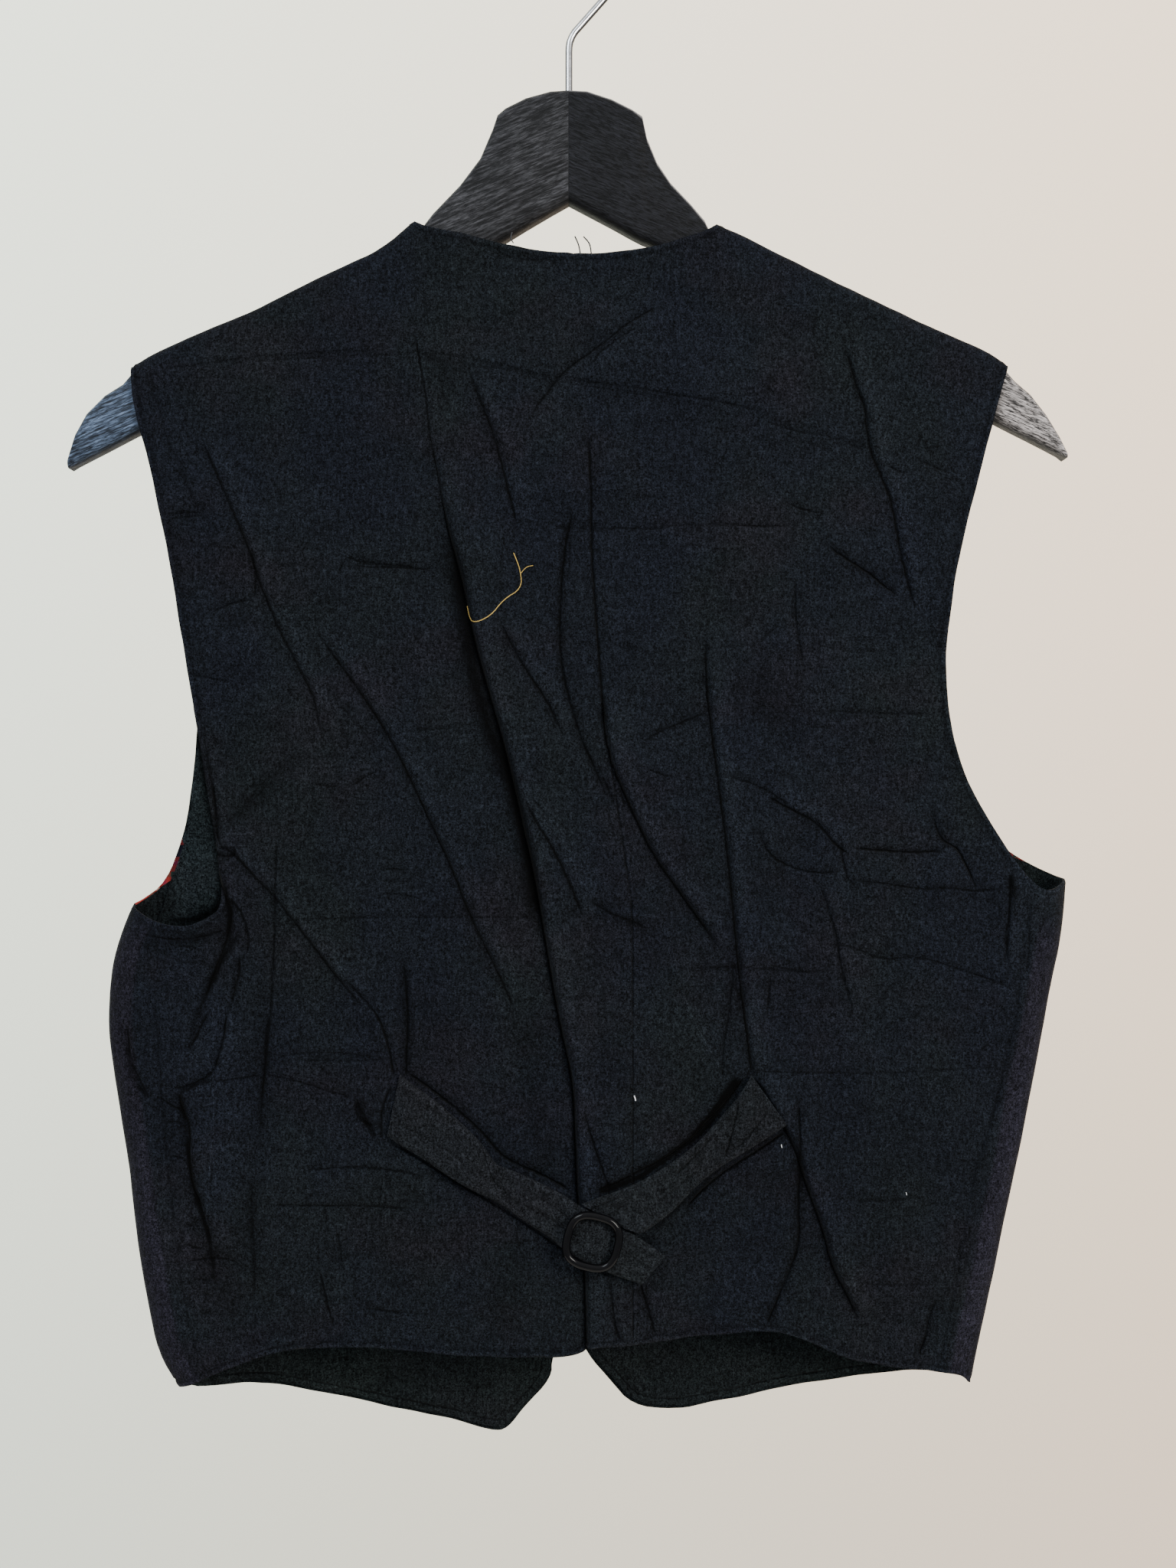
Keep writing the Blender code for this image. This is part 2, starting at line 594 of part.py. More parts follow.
def rounded_section(x, top, bottom):
    # A section across the hanger's arm, with all four corners rounded
    half = WOOD_THICKNESS / 2.0
    radius = min(WOOD_ROUNDING, (top - bottom) / 2.2)
    corners = ((half, top, 0), (-half, top, 90), (-half, bottom, 180), (half, bottom, 270))
    points = []
    for corner_y, corner_z, start in corners:
        centre_y = corner_y - math.copysign(radius, corner_y)
        centre_z = corner_z - radius if corner_z == top else corner_z + radius
        for step in range(3):
            angle = math.radians(start + 45 * step)
            points.append((x, centre_y + radius * math.cos(angle),
                           centre_z + radius * math.sin(angle)))
    return points


def make_arm(name, head, tip, shoulder, finish):
    stations = metres(head)
    start_x, end_x = stations[-1][0], metres(tip)[0][0]
    start_low, end_low = stations[-1][2], metres(tip)[0][2]
    for k in range(1, ARM_STATIONS):
        share = k / ARM_STATIONS
        x = start_x + (end_x - start_x) * share
        top = float(along(shoulder, x, 0, 1)) - ARM_BELOW_SEAM
        stations.append((x, top, start_low + (end_low - start_low) * share))
    stations += metres(tip)
    shape = bmesh.new()
    rings = [[shape.verts.new(point) for point in rounded_section(*row)] for row in stations]
    for ring, following in zip(rings, rings[1:]):
        for k in range(len(ring)):
            after = (k + 1) % len(ring)
            shape.faces.new((ring[k], ring[after], following[after], following[k]))
    shape.faces.new(rings[0])
    shape.faces.new(rings[-1])
    bmesh.ops.recalc_face_normals(shape, faces=shape.faces)
    mesh = bpy.data.meshes.new(name)
    shape.to_mesh(mesh)
    shape.free()
    mesh.shade_smooth()
    mesh.set_sharp_from_angle(angle=math.radians(40))
    add(name, mesh, finish)


def make_hook(finish):
    # A straight stem, a bend to the side and a round hook whose inside top is the origin
    bend = HOOK_INNER_RADIUS + WIRE_RADIUS
    centre = -HOOK_INNER_RADIUS
    lean = math.degrees(math.asin(bend / (centre - HOOK_KINK)))
    points = [(0.0, 0.0, HOOK_FOOT)]
    points += [(x * MM, 0.0, HOOK_KINK + above * MM) for x, above in HOOK_BEND]
    for step in range(HOOK_STEPS + 1):
        angle = math.radians(-lean + (HOOK_END_ANGLE + lean) * step / HOOK_STEPS)
        points.append((bend * math.cos(angle), 0.0, centre + bend * math.sin(angle)))
    wire("hanger_hook", points, WIRE_RADIUS, False, 2, finish)


def main():
    clear_scene()
    black_cotton = material("black_cotton", (0.011, 0.012, 0.017), 0.85)
    checked_cloth = material("checked_cloth", (0.32, 0.03, 0.03), 0.85)
    black_lining = material("black_lining", (0.010, 0.011, 0.012), 0.82)
    black_plastic = material("black_plastic", (0.008, 0.008, 0.009), 0.22)
    black_wood = material("black_wood", (0.020, 0.020, 0.023), 0.55)
    bright_wire = material("bright_wire", (0.62, 0.62, 0.63), 0.2, 1.0)
    make_back(black_cotton)
    make_front("left", -1, lapped_front_depth, checked_cloth, black_lining)
    make_front("right", 1, front_depth, checked_cloth, black_lining)
    make_straps(black_cotton)
    make_buckle(black_plastic)
    make_buttons(black_plastic)
    make_arm("hanger_left", HEAD_LEFT, TIP_LEFT, SHOULDER_LEFT, black_wood)
    make_arm("hanger_right", HEAD_RIGHT, TIP_RIGHT, SHOULDER_RIGHT, black_wood)
    make_hook(bright_wire)


main()
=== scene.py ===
# A lined black waistcoat on a black wooden hanger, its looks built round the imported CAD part.
# The back faces -Y and the inside top of the hook is the origin.
# Tables are in millimetres with x and z as seen from the back, everything else is in metres.

import math

import bmesh
import bpy
import numpy as np
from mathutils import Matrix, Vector
from mathutils.geometry import delaunay_2d_cdt
from mathutils.kdtree import KDTree


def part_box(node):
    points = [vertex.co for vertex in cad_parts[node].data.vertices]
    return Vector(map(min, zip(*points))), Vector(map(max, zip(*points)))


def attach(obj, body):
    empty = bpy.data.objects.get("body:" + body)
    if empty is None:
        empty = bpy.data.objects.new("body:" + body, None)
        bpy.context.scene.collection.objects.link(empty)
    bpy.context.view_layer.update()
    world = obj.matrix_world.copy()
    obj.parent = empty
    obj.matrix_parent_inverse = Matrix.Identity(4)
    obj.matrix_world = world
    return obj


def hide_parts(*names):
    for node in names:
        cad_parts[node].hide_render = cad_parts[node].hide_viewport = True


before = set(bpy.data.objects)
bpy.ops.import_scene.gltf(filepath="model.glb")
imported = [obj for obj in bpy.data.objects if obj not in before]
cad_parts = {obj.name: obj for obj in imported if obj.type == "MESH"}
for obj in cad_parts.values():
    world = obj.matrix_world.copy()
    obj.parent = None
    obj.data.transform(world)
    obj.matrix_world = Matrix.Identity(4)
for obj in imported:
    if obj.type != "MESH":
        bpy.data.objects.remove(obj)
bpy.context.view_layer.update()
mm = 0.001


print("camera and light")
view = dict(height=0.6963, distance=0.8, x=0.0085, z=-0.387)
room = dict(left=(1.95, 2.05, 1.75), right=(2.05, 1.65, 1.25), high=1.25, low=0.70, wide=0.3, tall=0.42,
            near=(0.62, 0.64, 0.66), nearLow=-0.7, nearHigh=0.9, above=1.55, below=0.42, depth=0.75,
            floor=-1.35, floorRadius=1.1)
lamps = (
    dict(name="key", place=(0.85, -1.1, -0.1), size=(0.45, 0.6), power=17.0, colour=(1.0, 0.96, 0.90)),
    dict(name="window", place=(-0.9, -1.2, 0.75), size=(0.9, 0.7), power=19.0, colour=(0.86, 0.93, 1.0)),
)


def makeCamera():
    data = bpy.data.cameras.new("camera")
    data.sensor_width = 36.0
    data.lens = data.sensor_width * view["distance"] / view["height"]
    camera = bpy.data.objects.new("camera", data)
    camera.location = (view["x"], -view["distance"], view["z"])
    camera.rotation_euler = (math.radians(90), 0.0, 0.0)
    bpy.context.scene.collection.objects.link(camera)
    bpy.context.scene.camera = camera


def makeLights():
    for lamp in lamps:
        data = bpy.data.lights.new(lamp["name"], "AREA")
        data.shape = "RECTANGLE"
        data.size, data.size_y = lamp["size"]
        data.energy = lamp["power"]
        data.color = lamp["colour"]
        light = bpy.data.objects.new(lamp["name"], data)
        light.location = lamp["place"]
        aim = Vector((0.0, 0.0, view["z"])) - light.location
        light.rotation_euler = aim.to_track_quat("-Z", "Y").to_euler()
        bpy.context.scene.collection.objects.link(light)


makeCamera()
makeLights()


class Shade:
    # A shader socket that takes part in sums and products and starts further nodes

    def __init__(self, tree, socket=None):
        self.tree = tree
        self.socket = socket

    def node(self, kind, settings=None, inputs=None, output=0):
        made = self.tree.nodes.new("ShaderNode" + kind)
        for name, value in (settings or {}).items():
            setattr(made, name, value)
        for key, value in (inputs or {}).items():
            plug(self.tree, value, made.inputs[key])
        return Shade(self.tree, made.outputs[output])

    def combine(self, operation, first, second):
        kinds = [value.socket.type for value in (first, second) if isinstance(value, Shade)]
        kinds += [len(value) for value in (first, second) if isinstance(value, tuple)]
        if "RGBA" in kinds or 4 in kinds:
            return self.node("Mix", {"data_type": "RGBA", "blend_type": operation},
                             {0: 1.0, 6: first, 7: second}, 2)
        if "VECTOR" in kinds or 3 in kinds:
            return self.node("VectorMath", {"operation": operation}, {0: first, 1: second})
        return self.node("Math", {"operation": operation}, {0: first, 1: second})

    def __add__(self, other):
        return self.combine("ADD", self, other)

    def __radd__(self, other):
        return self.combine("ADD", other, self)

    def __sub__(self, other):
        return self.combine("SUBTRACT", self, other)

    def __rsub__(self, other):
        return self.combine("SUBTRACT", other, self)

    def __mul__(self, other):
        return self.combine("MULTIPLY", self, other)

    def __rmul__(self, other):
        return self.combine("MULTIPLY", other, self)

    def __truediv__(self, other):
        return self.combine("DIVIDE", self, other)

    def __rtruediv__(self, other):
        return self.combine("DIVIDE", other, self)


def plug(tree, value, slot):
    # Feeds a socket with another socket's value or a fixed one
    if isinstance(value, Shade):
        tree.links.new(value.socket, slot)
    elif slot.type == "RGBA":
        slot.default_value = (*value[:3], 1.0) if isinstance(value, tuple) else (value, value, value, 1.0)
    elif slot.type == "VECTOR" and not isinstance(value, tuple):
        slot.default_value = (value, value, value)
    else:
        slot.default_value = value


def finishOf(name, fixed, shading):
    # A material whose fixed values are set directly and whose varying ones come from shading(start)
    made = bpy.data.materials.new(name)
    made.use_nodes = True
    shader = made.node_tree.nodes["Principled BSDF"]
    for key, value in fixed.items():
        shader.inputs[key].default_value = value
    for key, value in shading(Shade(made.node_tree)).items():
        plug(made.node_tree, value, shader.inputs[key])
    return made


def noise(place, stretch, detail=2.0, roughness=0.5):
    # Even noise from 0 to 1, its grain as fine as the stretch says, per metre
    return place.node("TexNoise", {}, {"Vector": place * stretch, "Scale": 1.0, "Detail": detail,
                                       "Roughness": roughness})


def between(value, low, high, first, last):
    # The value's stretch from low to high spread over first to last, held at both ends
    return value.node("MapRange", {}, {0: value, 1: low, 2: high, 3: first, 4: last})


def part(vector, number):
    # One of a vector's three parts
    return vector.node("SeparateXYZ", {}, {0: vector}, number)


def objectPlace(start):
    return start.node("TexCoord", output="Object")


def field(start, name):
    # A number that the mesh holds at each of its points
    return start.node("Attribute", {"attribute_name": name}, {}, "Fac")


def bell(share):
    # 1 in the middle, falling to nothing on both sides
    return share.node("Math", {"operation": "POWER"}, {0: math.e, 1: share * share * -1.0})


def blendOf(share, first, last):
    return share.node("Mix", {"data_type": "RGBA"}, {0: share, 6: first, 7: last}, 2)


def bumped(height, strength, distance):
    return height.node("Bump", {}, {"Height": height, "Strength": strength, "Distance": distance})


def makeRoom():
    # A bright wall behind the garment, cool on the left and warm low down on the right,
    # and a dimmer room in front of it, brighter above
    world = bpy.data.worlds.new("room")
    world.use_nodes = True
    start = Shade(world.node_tree)
    way = start.node("TexCoord", output="Generated")
    across = part(way, 0)
    deep = part(way, 1)
    up = part(way, 2)
    farWall = blendOf(between(across, -room["wide"], room["wide"], 0.0, 1.0), room["left"], room["right"])
    farWall = farWall * between(up, -room["tall"], room["tall"], room["low"], room["high"])
    nearRoom = room["near"] * between(up, room["nearLow"], room["nearHigh"], room["below"], room["above"])
    colour = blendOf(between(deep, 0.0, room["depth"], 0.0, 1.0), nearRoom, farWall)
    plug(world.node_tree, colour, world.node_tree.nodes["Background"].inputs["Color"])
    bpy.context.scene.world = world


makeRoom()


print("finishes")
cotton = dict(
    colours=((0.0064, 0.0079, 0.0122), (0.0060, 0.0078, 0.0094), (0.0082, 0.0074, 0.0104)),
    pitch=0.00056, roughness=0.88, level=0.06, sheen=0.01, speckle=(1350.0,) * 3,
    slub=(700.0, 700.0, 420.0), patches=(13.0, 13.0, 9.0), rusty=(17.0, 17.0, 23.0),
    pressed=(0.0112, 0.0106, 0.0165),
)
# Colours of the other two black cloths: bluish, greenish, reddish
strapColours = ((0.0078, 0.0088, 0.0110), (0.0075, 0.0090, 0.0102), (0.0088, 0.0086, 0.0104))
# The lining's colours are lighter partly as painted light, for a lining that lies in shade inside the garment
liningColours = ((0.0076, 0.0100, 0.0112), (0.0072, 0.0100, 0.0102), (0.0088, 0.0098, 0.0114))
# How much light the darkest and the palest painted shade, painted highlight and wear let through, by cloth
paintedLightAndWearScale = dict(range=(-1.6, 3.4), cotton=(0.04, 3.04), check=(0.2, 2.2))
# In mm, and the heights at which each kind of fold has a full crease. dark is the painted shade in a crease's
# trough and pale the painted highlight on its rim.
crispCrease = dict(width=0.42, dark=0.85, rimAt=1.05, rimWidth=0.5, pale=0.34, reach=3.0, near=1.6,
                   waver=420.0, sway=1.5, patchy=110.0, ends=12.0, lip=1.8, crease=1.3, ridge=-1.1)
check = dict(pitch=0.030, yarn=0.0007, wave=16.0, pull=0.007, red=(0.33, 0.035, 0.028),
             bands=((0.0, 0.18, (0.012, 0.012, 0.02)), (0.50, 0.54, (0.55, 0.45, 0.38)),
                    (0.70, 0.78, (0.02, 0.06, 0.04)), (0.88, 0.94, (0.24, 0.02, 0.06))))
# The grain leans with each arm, in degrees. The tips are bare, with painted light on them, and the painted
# reflection along the upper rim starts below the head.
stain = dict(lean=23.0, grain=(90.0, 1050.0, 1050.0), pores=(260.0, 2100.0, 2100.0),
             tip=0.192, fade=0.006, mitre=0.0002, rimLow=-0.150, rimHigh=-0.140,
             # left is lighter than right partly as painted window light on the left arm
             left=(0.0165, 0.0165, 0.0182), right=(0.0050, 0.0052, 0.0066),
             # pale and grey are the bare tips' tones with painted cool window light and painted warm lamp
             # light; rim is the colour of a painted reflection
             pale=(0.044, 0.061, 0.093), grey=(0.19, 0.175, 0.170), rim=(0.22, 0.22, 0.23))
wire = dict(colour=(0.66, 0.66, 0.67, 1.0), smears=(90.0, 90.0, 260.0), edge=0.08)
plastic = dict(colour=(0.0025, 0.0025, 0.003, 1.0), smears=(400.0,) * 3)


def threads(place, pitch):
    # Plain weave with uneven yarns, as a height and as a lightness, both about 0 to 1
    sway = noise(place, (60.0, 60.0, 60.0), 1.0) * 2.0
    turn = math.tau / pitch
    across = part(place, 0) * turn + sway
    down = part(place, 2) * turn + sway
    warp = across.node("Math", {"operation": "SINE"}, {0: across})
    weft = down.node("Math", {"operation": "SINE"}, {0: down})
    warpYarn = noise(place, (0.8 / pitch, 30.0, 110.0), 2.0, 0.6)
    weftYarn = noise(place, (90.0, 30.0, 0.8 / pitch), 2.0, 0.6)
    height = warp * weft * 0.25 + warpYarn * 0.5 + weftYarn * 0.5
    return height, warpYarn * 0.5 + weftYarn * 0.5


def creaseLine(start):
    # The nearest sharp crease, from how far aside it lies in mm and how strong it is:
    # the height of its narrow trough, and the painted shade in it, with a painted highlight on a rim on one
    # side
    aside = field(start, "aside")
    strength = field(start, "strength")
    place = objectPlace(start)
    aside = aside + (noise(place, (crispCrease["waver"],) * 3, 2.0) - 0.5) * crispCrease["sway"]
    patches = noise(place + (5.0, 1.0, 2.0), (crispCrease["patchy"],) * 3, 2.0)
    strength = strength * between(patches, 0.36, 0.62, 0.6, 1.2)
    trough = bell(aside / crispCrease["width"])
    rim = bell((aside - crispCrease["rimAt"]) / crispCrease["rimWidth"])
    paintedFoldShade = (rim * crispCrease["pale"] - trough * crispCrease["dark"]) * strength
    return (rim * 0.5 - trough) * strength, paintedFoldShade


def clothShading(colours):
    # Washed plain weave: uneven yarns, speckled fibres, broad patches of tone, painted shade and painted
    # highlights at the folds
    def shading(start):
        place = objectPlace(start)
        height, yarn = threads(place, cotton["pitch"])
        patches = noise(place, cotton["patches"], 3.0, 0.6)
        rusty = noise(place + (3.0, 0.0, 1.0), cotton["rusty"], 3.0, 0.6)
        fibres = noise(place, cotton["speckle"], 2.0, 0.8)
        slubs = noise(place + (1.0, 2.0, 0.0), cotton["slub"], 2.0, 0.7)
        colour = blendOf(between(patches, 0.38, 0.62, 0.0, 1.0), colours[0], colours[1])
        colour = blendOf(between(rusty, 0.5, 0.75, 0.0, 0.8), colour, colours[2])
        tinge = field(start, "tinge")
        colour = blendOf(tinge, colour, cotton["pressed"])
        # Painted shade and painted highlights from folds, tones, edges and the armhole's inside, with pale
        # and dark smudges
        paintedLightAndWear = field(start, "paintedLightAndWear")
        light = between(yarn, 0.3, 0.7, 0.72, 1.28) * between(fibres, 0.34, 0.66, 0.0, 2.05)
        light = light * between(slubs, 0.33, 0.67, 0.5, 1.5) * between(patches, 0.3, 0.7, 0.86, 1.16)
        line, paintedFoldShade = creaseLine(start)
        light = light * between(paintedLightAndWear, *paintedLightAndWearScale["range"], *paintedLightAndWearScale["cotton"]) * between(paintedFoldShade, -1.0, 1.0, 0.0, 2.0)
        peep = field(start, "peep")
        colour = blendOf(between(peep, 0.45, 0.55, 0.0, 1.0), colour * light, checkColour(place, height))
        return {"Base Color": colour,
                "Roughness": between(fibres, 0.3, 0.7, 0.82, 0.94),
                "Normal": bumped(height + fibres * 1.3 + slubs * 0.9 + line * 3.0, 0.9, 0.00025)}
    return shading


def stripe(value, pitch, low, high):
    # 1 where the value, repeated at the pitch, lies between low and high shares of it, otherwise 0
    share = value.node("Math", {"operation": "FRACT"}, {0: value / pitch})
    above = value.node("Math", {"operation": "GREATER_THAN"}, {0: share, 1: low})
    below = value.node("Math", {"operation": "LESS_THAN"}, {0: share, 1: high})
    return above * below


def checkColour(place, height):
    # Dark, pale, green and magenta bands, both ways, over red, where the upper yarn shows
    colours = []
    for number in (0, 2):
        value = part(place, number)
        colour = check["red"]
        for low, high, band in check["bands"]:
            colour = blendOf(stripe(value, check["pitch"], low, high), colour, band)
        colours.append(colour)
    return blendOf(between(height, 0.3, 0.7, 0.3, 0.7), colours[0], colours[1])


def checkShading(start):
    place = objectPlace(start)
    height, yarn = threads(place, check["yarn"])
    # Painted shade and painted highlights from folds and edges, and painted light through the armhole
    paintedLightAndWear = field(start, "paintedLightAndWear")
    line, paintedFoldShade = creaseLine(start)
    light = between(yarn, 0.3, 0.7, 0.75, 1.2) * between(paintedLightAndWear, *paintedLightAndWearScale["range"], *paintedLightAndWearScale["check"])
    light = light * between(paintedFoldShade, -1.0, 1.0, 0.45, 1.55)
    pulled = place + (noise(place, (check["wave"],) * 3, 2.0) - 0.5) * check["pull"]
    return {"Base Color": checkColour(pulled, height) * light,
            "Normal": bumped(height + line * 2.0, 0.7, 0.0003)}


def woodShading(start):
    # Black stain over brushed grain that follows each arm, rougher on the left arm and lighter there partly
    # as painted light, painted shade underneath, bare tips with painted light on them, and a painted
    # reflection along the upper edges
    place = objectPlace(start)
    across = part(place, 0)
    deep = part(place, 1)
    up = part(place, 2)
    side = between(across, -stain["mitre"], stain["mitre"], -1.0, 1.0)
    lean = math.radians(stain["lean"])
    along = across * math.cos(lean) - side * up * math.sin(lean)
    over = up * math.cos(lean) + side * across * math.sin(lean)
    brushed = place.node("CombineXYZ", {}, {0: along, 1: deep, 2: over})
    grain = noise(brushed, stain["grain"], 3.0, 0.65)
    pores = noise(brushed, stain["pores"], 2.0, 0.7)
    cloud = noise(place, (30.0, 30.0, 30.0), 2.0)
    share = between(side, -1.0, 1.0, 0.0, 1.0)
    rough = between(grain, 0.38, 0.62, 0.25, 1.9) * between(pores, 0.38, 0.62, 0.3, 1.8)
    fine = between(grain, 0.35, 0.65, 0.6, 1.5) * between(pores, 0.4, 0.6, 0.1, 2.1)
    facing = place.node("NewGeometry", output="Normal")
    # Painted shade where the wood faces down
    paintedUndersideShade = between(part(facing, 2), -0.9, -0.2, 0.3, 1.0)
    light = (rough * (1.0 - share) + fine * share) * between(cloud, 0.3, 0.7, 0.85, 1.2) * paintedUndersideShade
    # Bare tips with painted light: cool window light on the left tip, warm lamp light on the right one
    tip = between(across, -stain["tip"], stain["fade"] - stain["tip"], 1.0, 0.0)
    greyTip = between(across, stain["tip"] - stain["fade"], stain["tip"], 0.0, 1.0)
    colour = blendOf(share, stain["left"], stain["right"])
    colour = blendOf(greyTip, blendOf(tip, colour, stain["pale"]), stain["grey"])
    # A painted reflection of the room on the rounded upper edges, below the head
    turned = between(part(facing, 1), -0.8, -0.5, 0.0, 1.0)
    upward = between(part(facing, 2), 0.1, 0.3, 0.0, 1.0)
    rimBelowHead = between(up, stain["rimLow"], stain["rimHigh"], 0.0, 1.0)
    rim = turned * upward * between(share, 0.0, 1.0, 0.15, 1.0) * rimBelowHead
    return {"Base Color": blendOf(rim, colour * light, stain["rim"]),
            "Roughness": between(pores, 0.35, 0.65, 0.45, 0.65),
            "Normal": bumped(grain + pores, 0.7, 0.0003)}


def wireShading(start):
    # Bright wire with a painted dark reflection of the dim room where it turns away
    place = objectPlace(start)
    smears = noise(place, wire["smears"], 3.0, 0.6)
    facing = place.node("NewGeometry", output="Normal")
    turned = part(facing, 1)
    turned = turned.node("Math", {"operation": "ABSOLUTE"}, {0: turned})
    # Painted reflection: darker where the wire turns sideways
    light = between(smears, 0.3, 0.7, 0.85, 1.05) * between(turned, 0.55, 0.9, wire["edge"], 1.0)
    return {"Base Color": wire["colour"] * light,
            "Roughness": between(smears, 0.3, 0.7, 0.14, 0.3)}


def plasticShading(start):
    place = objectPlace(start)
    smears = noise(place, plastic["smears"], 3.0, 0.6)
    return {"Base Color": plastic["colour"] * between(smears, 0.3, 0.7, 0.8, 1.2),
            "Roughness": between(smears, 0.3, 0.7, 0.04, 0.08)}


def threadShading(colour):
    def shading(start):
        place = objectPlace(start)
        twist = noise(place, (2600.0, 2600.0, 2600.0), 1.0)
        return {"Base Color": (*colour, 1.0) * between(twist, 0.3, 0.7, 0.75, 1.2)}
    return shading


def floorShading(start):
    place = objectPlace(start)
    cloud = noise(place, (3.0, 3.0, 3.0), 3.0)
    return {"Base Color": (0.72, 0.71, 0.69, 1.0) * between(cloud, 0.3, 0.7, 0.98, 1.02)}


cloth = {"Roughness": cotton["roughness"], "Specular IOR Level": cotton["level"],
         "Sheen Weight": cotton["sheen"], "Sheen Roughness": 0.6}
finishes = {
    "black_cotton": finishOf("blackCotton", cloth, clothShading(cotton["colours"])),
    "strap_cotton": finishOf("strapCotton", cloth, clothShading(strapColours)),
    "black_lining": finishOf("blackLining", cloth, clothShading(liningColours)),
    "checked_cloth": finishOf("checkedCloth", {**cloth, "Sheen Weight": 0.15}, checkShading),
    "black_wood": finishOf("blackWood", {"Specular IOR Level": 0.16}, woodShading),
    "bright_wire": finishOf("brightWire", {"Metallic": 1.0}, wireShading),
    "black_plastic": finishOf("blackPlastic", {"Specular IOR Level": 0.16}, plasticShading),
    "black_thread": finishOf("blackThread", {"Roughness": 0.6}, threadShading((0.016, 0.018, 0.022))),
    "yellow_thread": finishOf("yellowThread", {"Roughness": 0.7}, threadShading((0.45, 0.30, 0.07))),
    "white_lint": finishOf("whiteLint", {"Roughness": 0.9}, threadShading((0.75, 0.76, 0.78))),
    "pale_floor": finishOf("paleFloor", {"Roughness": 0.8}, floorShading),
}


# The garment's lines and its depth, the same as the CAD part's
neck = ((-69, -138), (-65, -141.5), (-47, -145), (-28, -150), (-15, -152.5), (2, -154),
        (20, -153.5), (38, -151), (51, -147), (63, -143), (66, -139.5))
shoulderLeft = ((-69, -138), (-82, -149), (-112, -163.5), (-138, -176), (-183, -196), (-193, -202))
shoulderRight = ((66, -139.5), (80, -145), (95, -153), (125, -168), (158, -183.5), (185, -195),
                 (194, -201.5))
centreSeam = ((2, -154), (9, -231), (10, -283), (14, -343), (18, -374), (28, -442), (28, -479),
              (28, -558), (28, -631))
backArmholeLeft = ((-193, -202), (-191, -223), (-184, -245), (-177, -278), (-169, -323),
                   (-161, -370), (-154, -410), (-150, -440), (-158, -446), (-169, -450),
                   (-183, -446), (-193, -440))
backArmholeRight = ((194, -201.5), (190, -215), (179, -256), (169, -297), (165, -325), (165, -349),
                    (169, -372), (176, -390), (186, -407), (195, -421), (203, -431), (210, -434),
                    (220, -429))
frontArmholeLeft = ((-193, -202), (-189, -222), (-183, -243), (-173, -278), (-165, -323),
                    (-168, -365), (-171, -393), (-175, -411), (-182, -431), (-193, -440))
frontArmholeRight = ((194, -201.5), (187, -228), (173, -278), (164, -319), (163, -347), (168, -372),
                     (177, -392), (187, -407), (198, -417), (208, -423), (220, -429))
flankLeft = ((-193, -440), (-199, -455), (-203, -472), (-204, -495), (-200, -523), (-195, -552),
             (-192, -581), (-187, -613), (-182, -638), (-173, -653))
flankRight = ((220, -429), (218, -455), (213, -477), (207, -510), (202, -536), (192, -584),
              (183, -627), (178, -652))
backHem = ((-173, -653), (-163, -649), (-156, -645), (-133, -636), (-112, -633), (-93, -632),
           (-60, -635), (-35, -637), (-8, -638), (7, -635.5), (9, -632), (28, -631), (63, -627),
           (87, -624.5), (100, -628), (121, -637), (139, -641), (162, -643), (173, -646), (178, -652))
frontHemLeft = ((-173, -653), (-168, -659), (-139, -657), (-118, -660), (-88, -667), (-57, -673),
                (-35, -679), (-28, -679), (-20, -669), (-8, -657), (-8, -648), (5, -618), (11, -590))
frontHemRight = ((178, -652), (168, -652), (148, -652), (110, -657), (65, -666), (48, -670),
                 (28, -667), (19, -657), (8, -645), (-5, -615), (-11, -590))
frontEdgeLeft = ((11, -590), (11, -356), (6, -338), (-9, -303), (-31, -243), (-54, -180), (-69, -138))
frontEdgeRight = ((-11, -590), (-11, -356), (-6, -338), (9, -303), (30, -243), (52, -182), (66, -139.5))
# z, how far the back and the front stand from the middle plane
depths = ((-130, 8.3, 9.9), (-245, 9.3, 11), (-330, 12.5, 13.5), (-440, 15.5, 16),
          (-540, 15.5, 16.5), (-680, 13.5, 15))

wall = dict(cloth=0.0010, lining=0.0008, liningGap=0.0010, seamGap=0.0003, seam=0.00002, slopeStep=0.0004)
roll = dict(shoulder=0.007, flank=0.022, power=2.4, neck=0.004, fade=0.05)
lap = dict(rise=0.0038, start=-0.040, full=-0.014)
cornerCut = 0.006


def curved(table):
    # The table's line in metres, its corners cut twice
    points = [np.array(row[:2]) * mm for row in table]
    for limit in (cornerCut, cornerCut / 3.0):
        cut = [points[0]]
        for before, here, after in zip(points, points[1:], points[2:]):
            for other in (before, after):
                run = other - here
                cut.append(here + run * min(0.25, limit / np.hypot(*run)))
        points = cut + [points[-1]]
    return np.array(points)


def sampled(line, cell):
    # The line's own points with others between them, no further apart than a cell
    points = []
    for start, end in zip(line, line[1:]):
        count = max(1, math.ceil(np.hypot(*(end - start)) / cell))
        points += [start + (end - start) * step / count for step in range(count)]
    return np.array(points + [line[-1]])


def beside(line, distance):
    # The line moved to the left of its own direction
    runs = np.gradient(line, axis=0)
    runs /= np.hypot(runs[:, 0], runs[:, 1])[:, None]
    return line + distance * np.column_stack((-runs[:, 1], runs[:, 0]))


def smooth(share):
    inside = np.clip(share, 0.0, 1.0)
    return inside * inside * (3.0 - 2.0 * inside)


def rounded(share):
    # 0 at an edge, 1 where the roll ends, with a full round between them
    inside = np.clip(share, 0.0, 1.0)
    return (1.0 - (1.0 - inside) ** roll["power"]) ** (1.0 / roll["power"])


def readAt(line, at, key, value):
    # One coordinate of a line where its other one has a given value
    order = np.argsort(line[:, key])
    return np.interp(at, line[order, key], line[order, value])


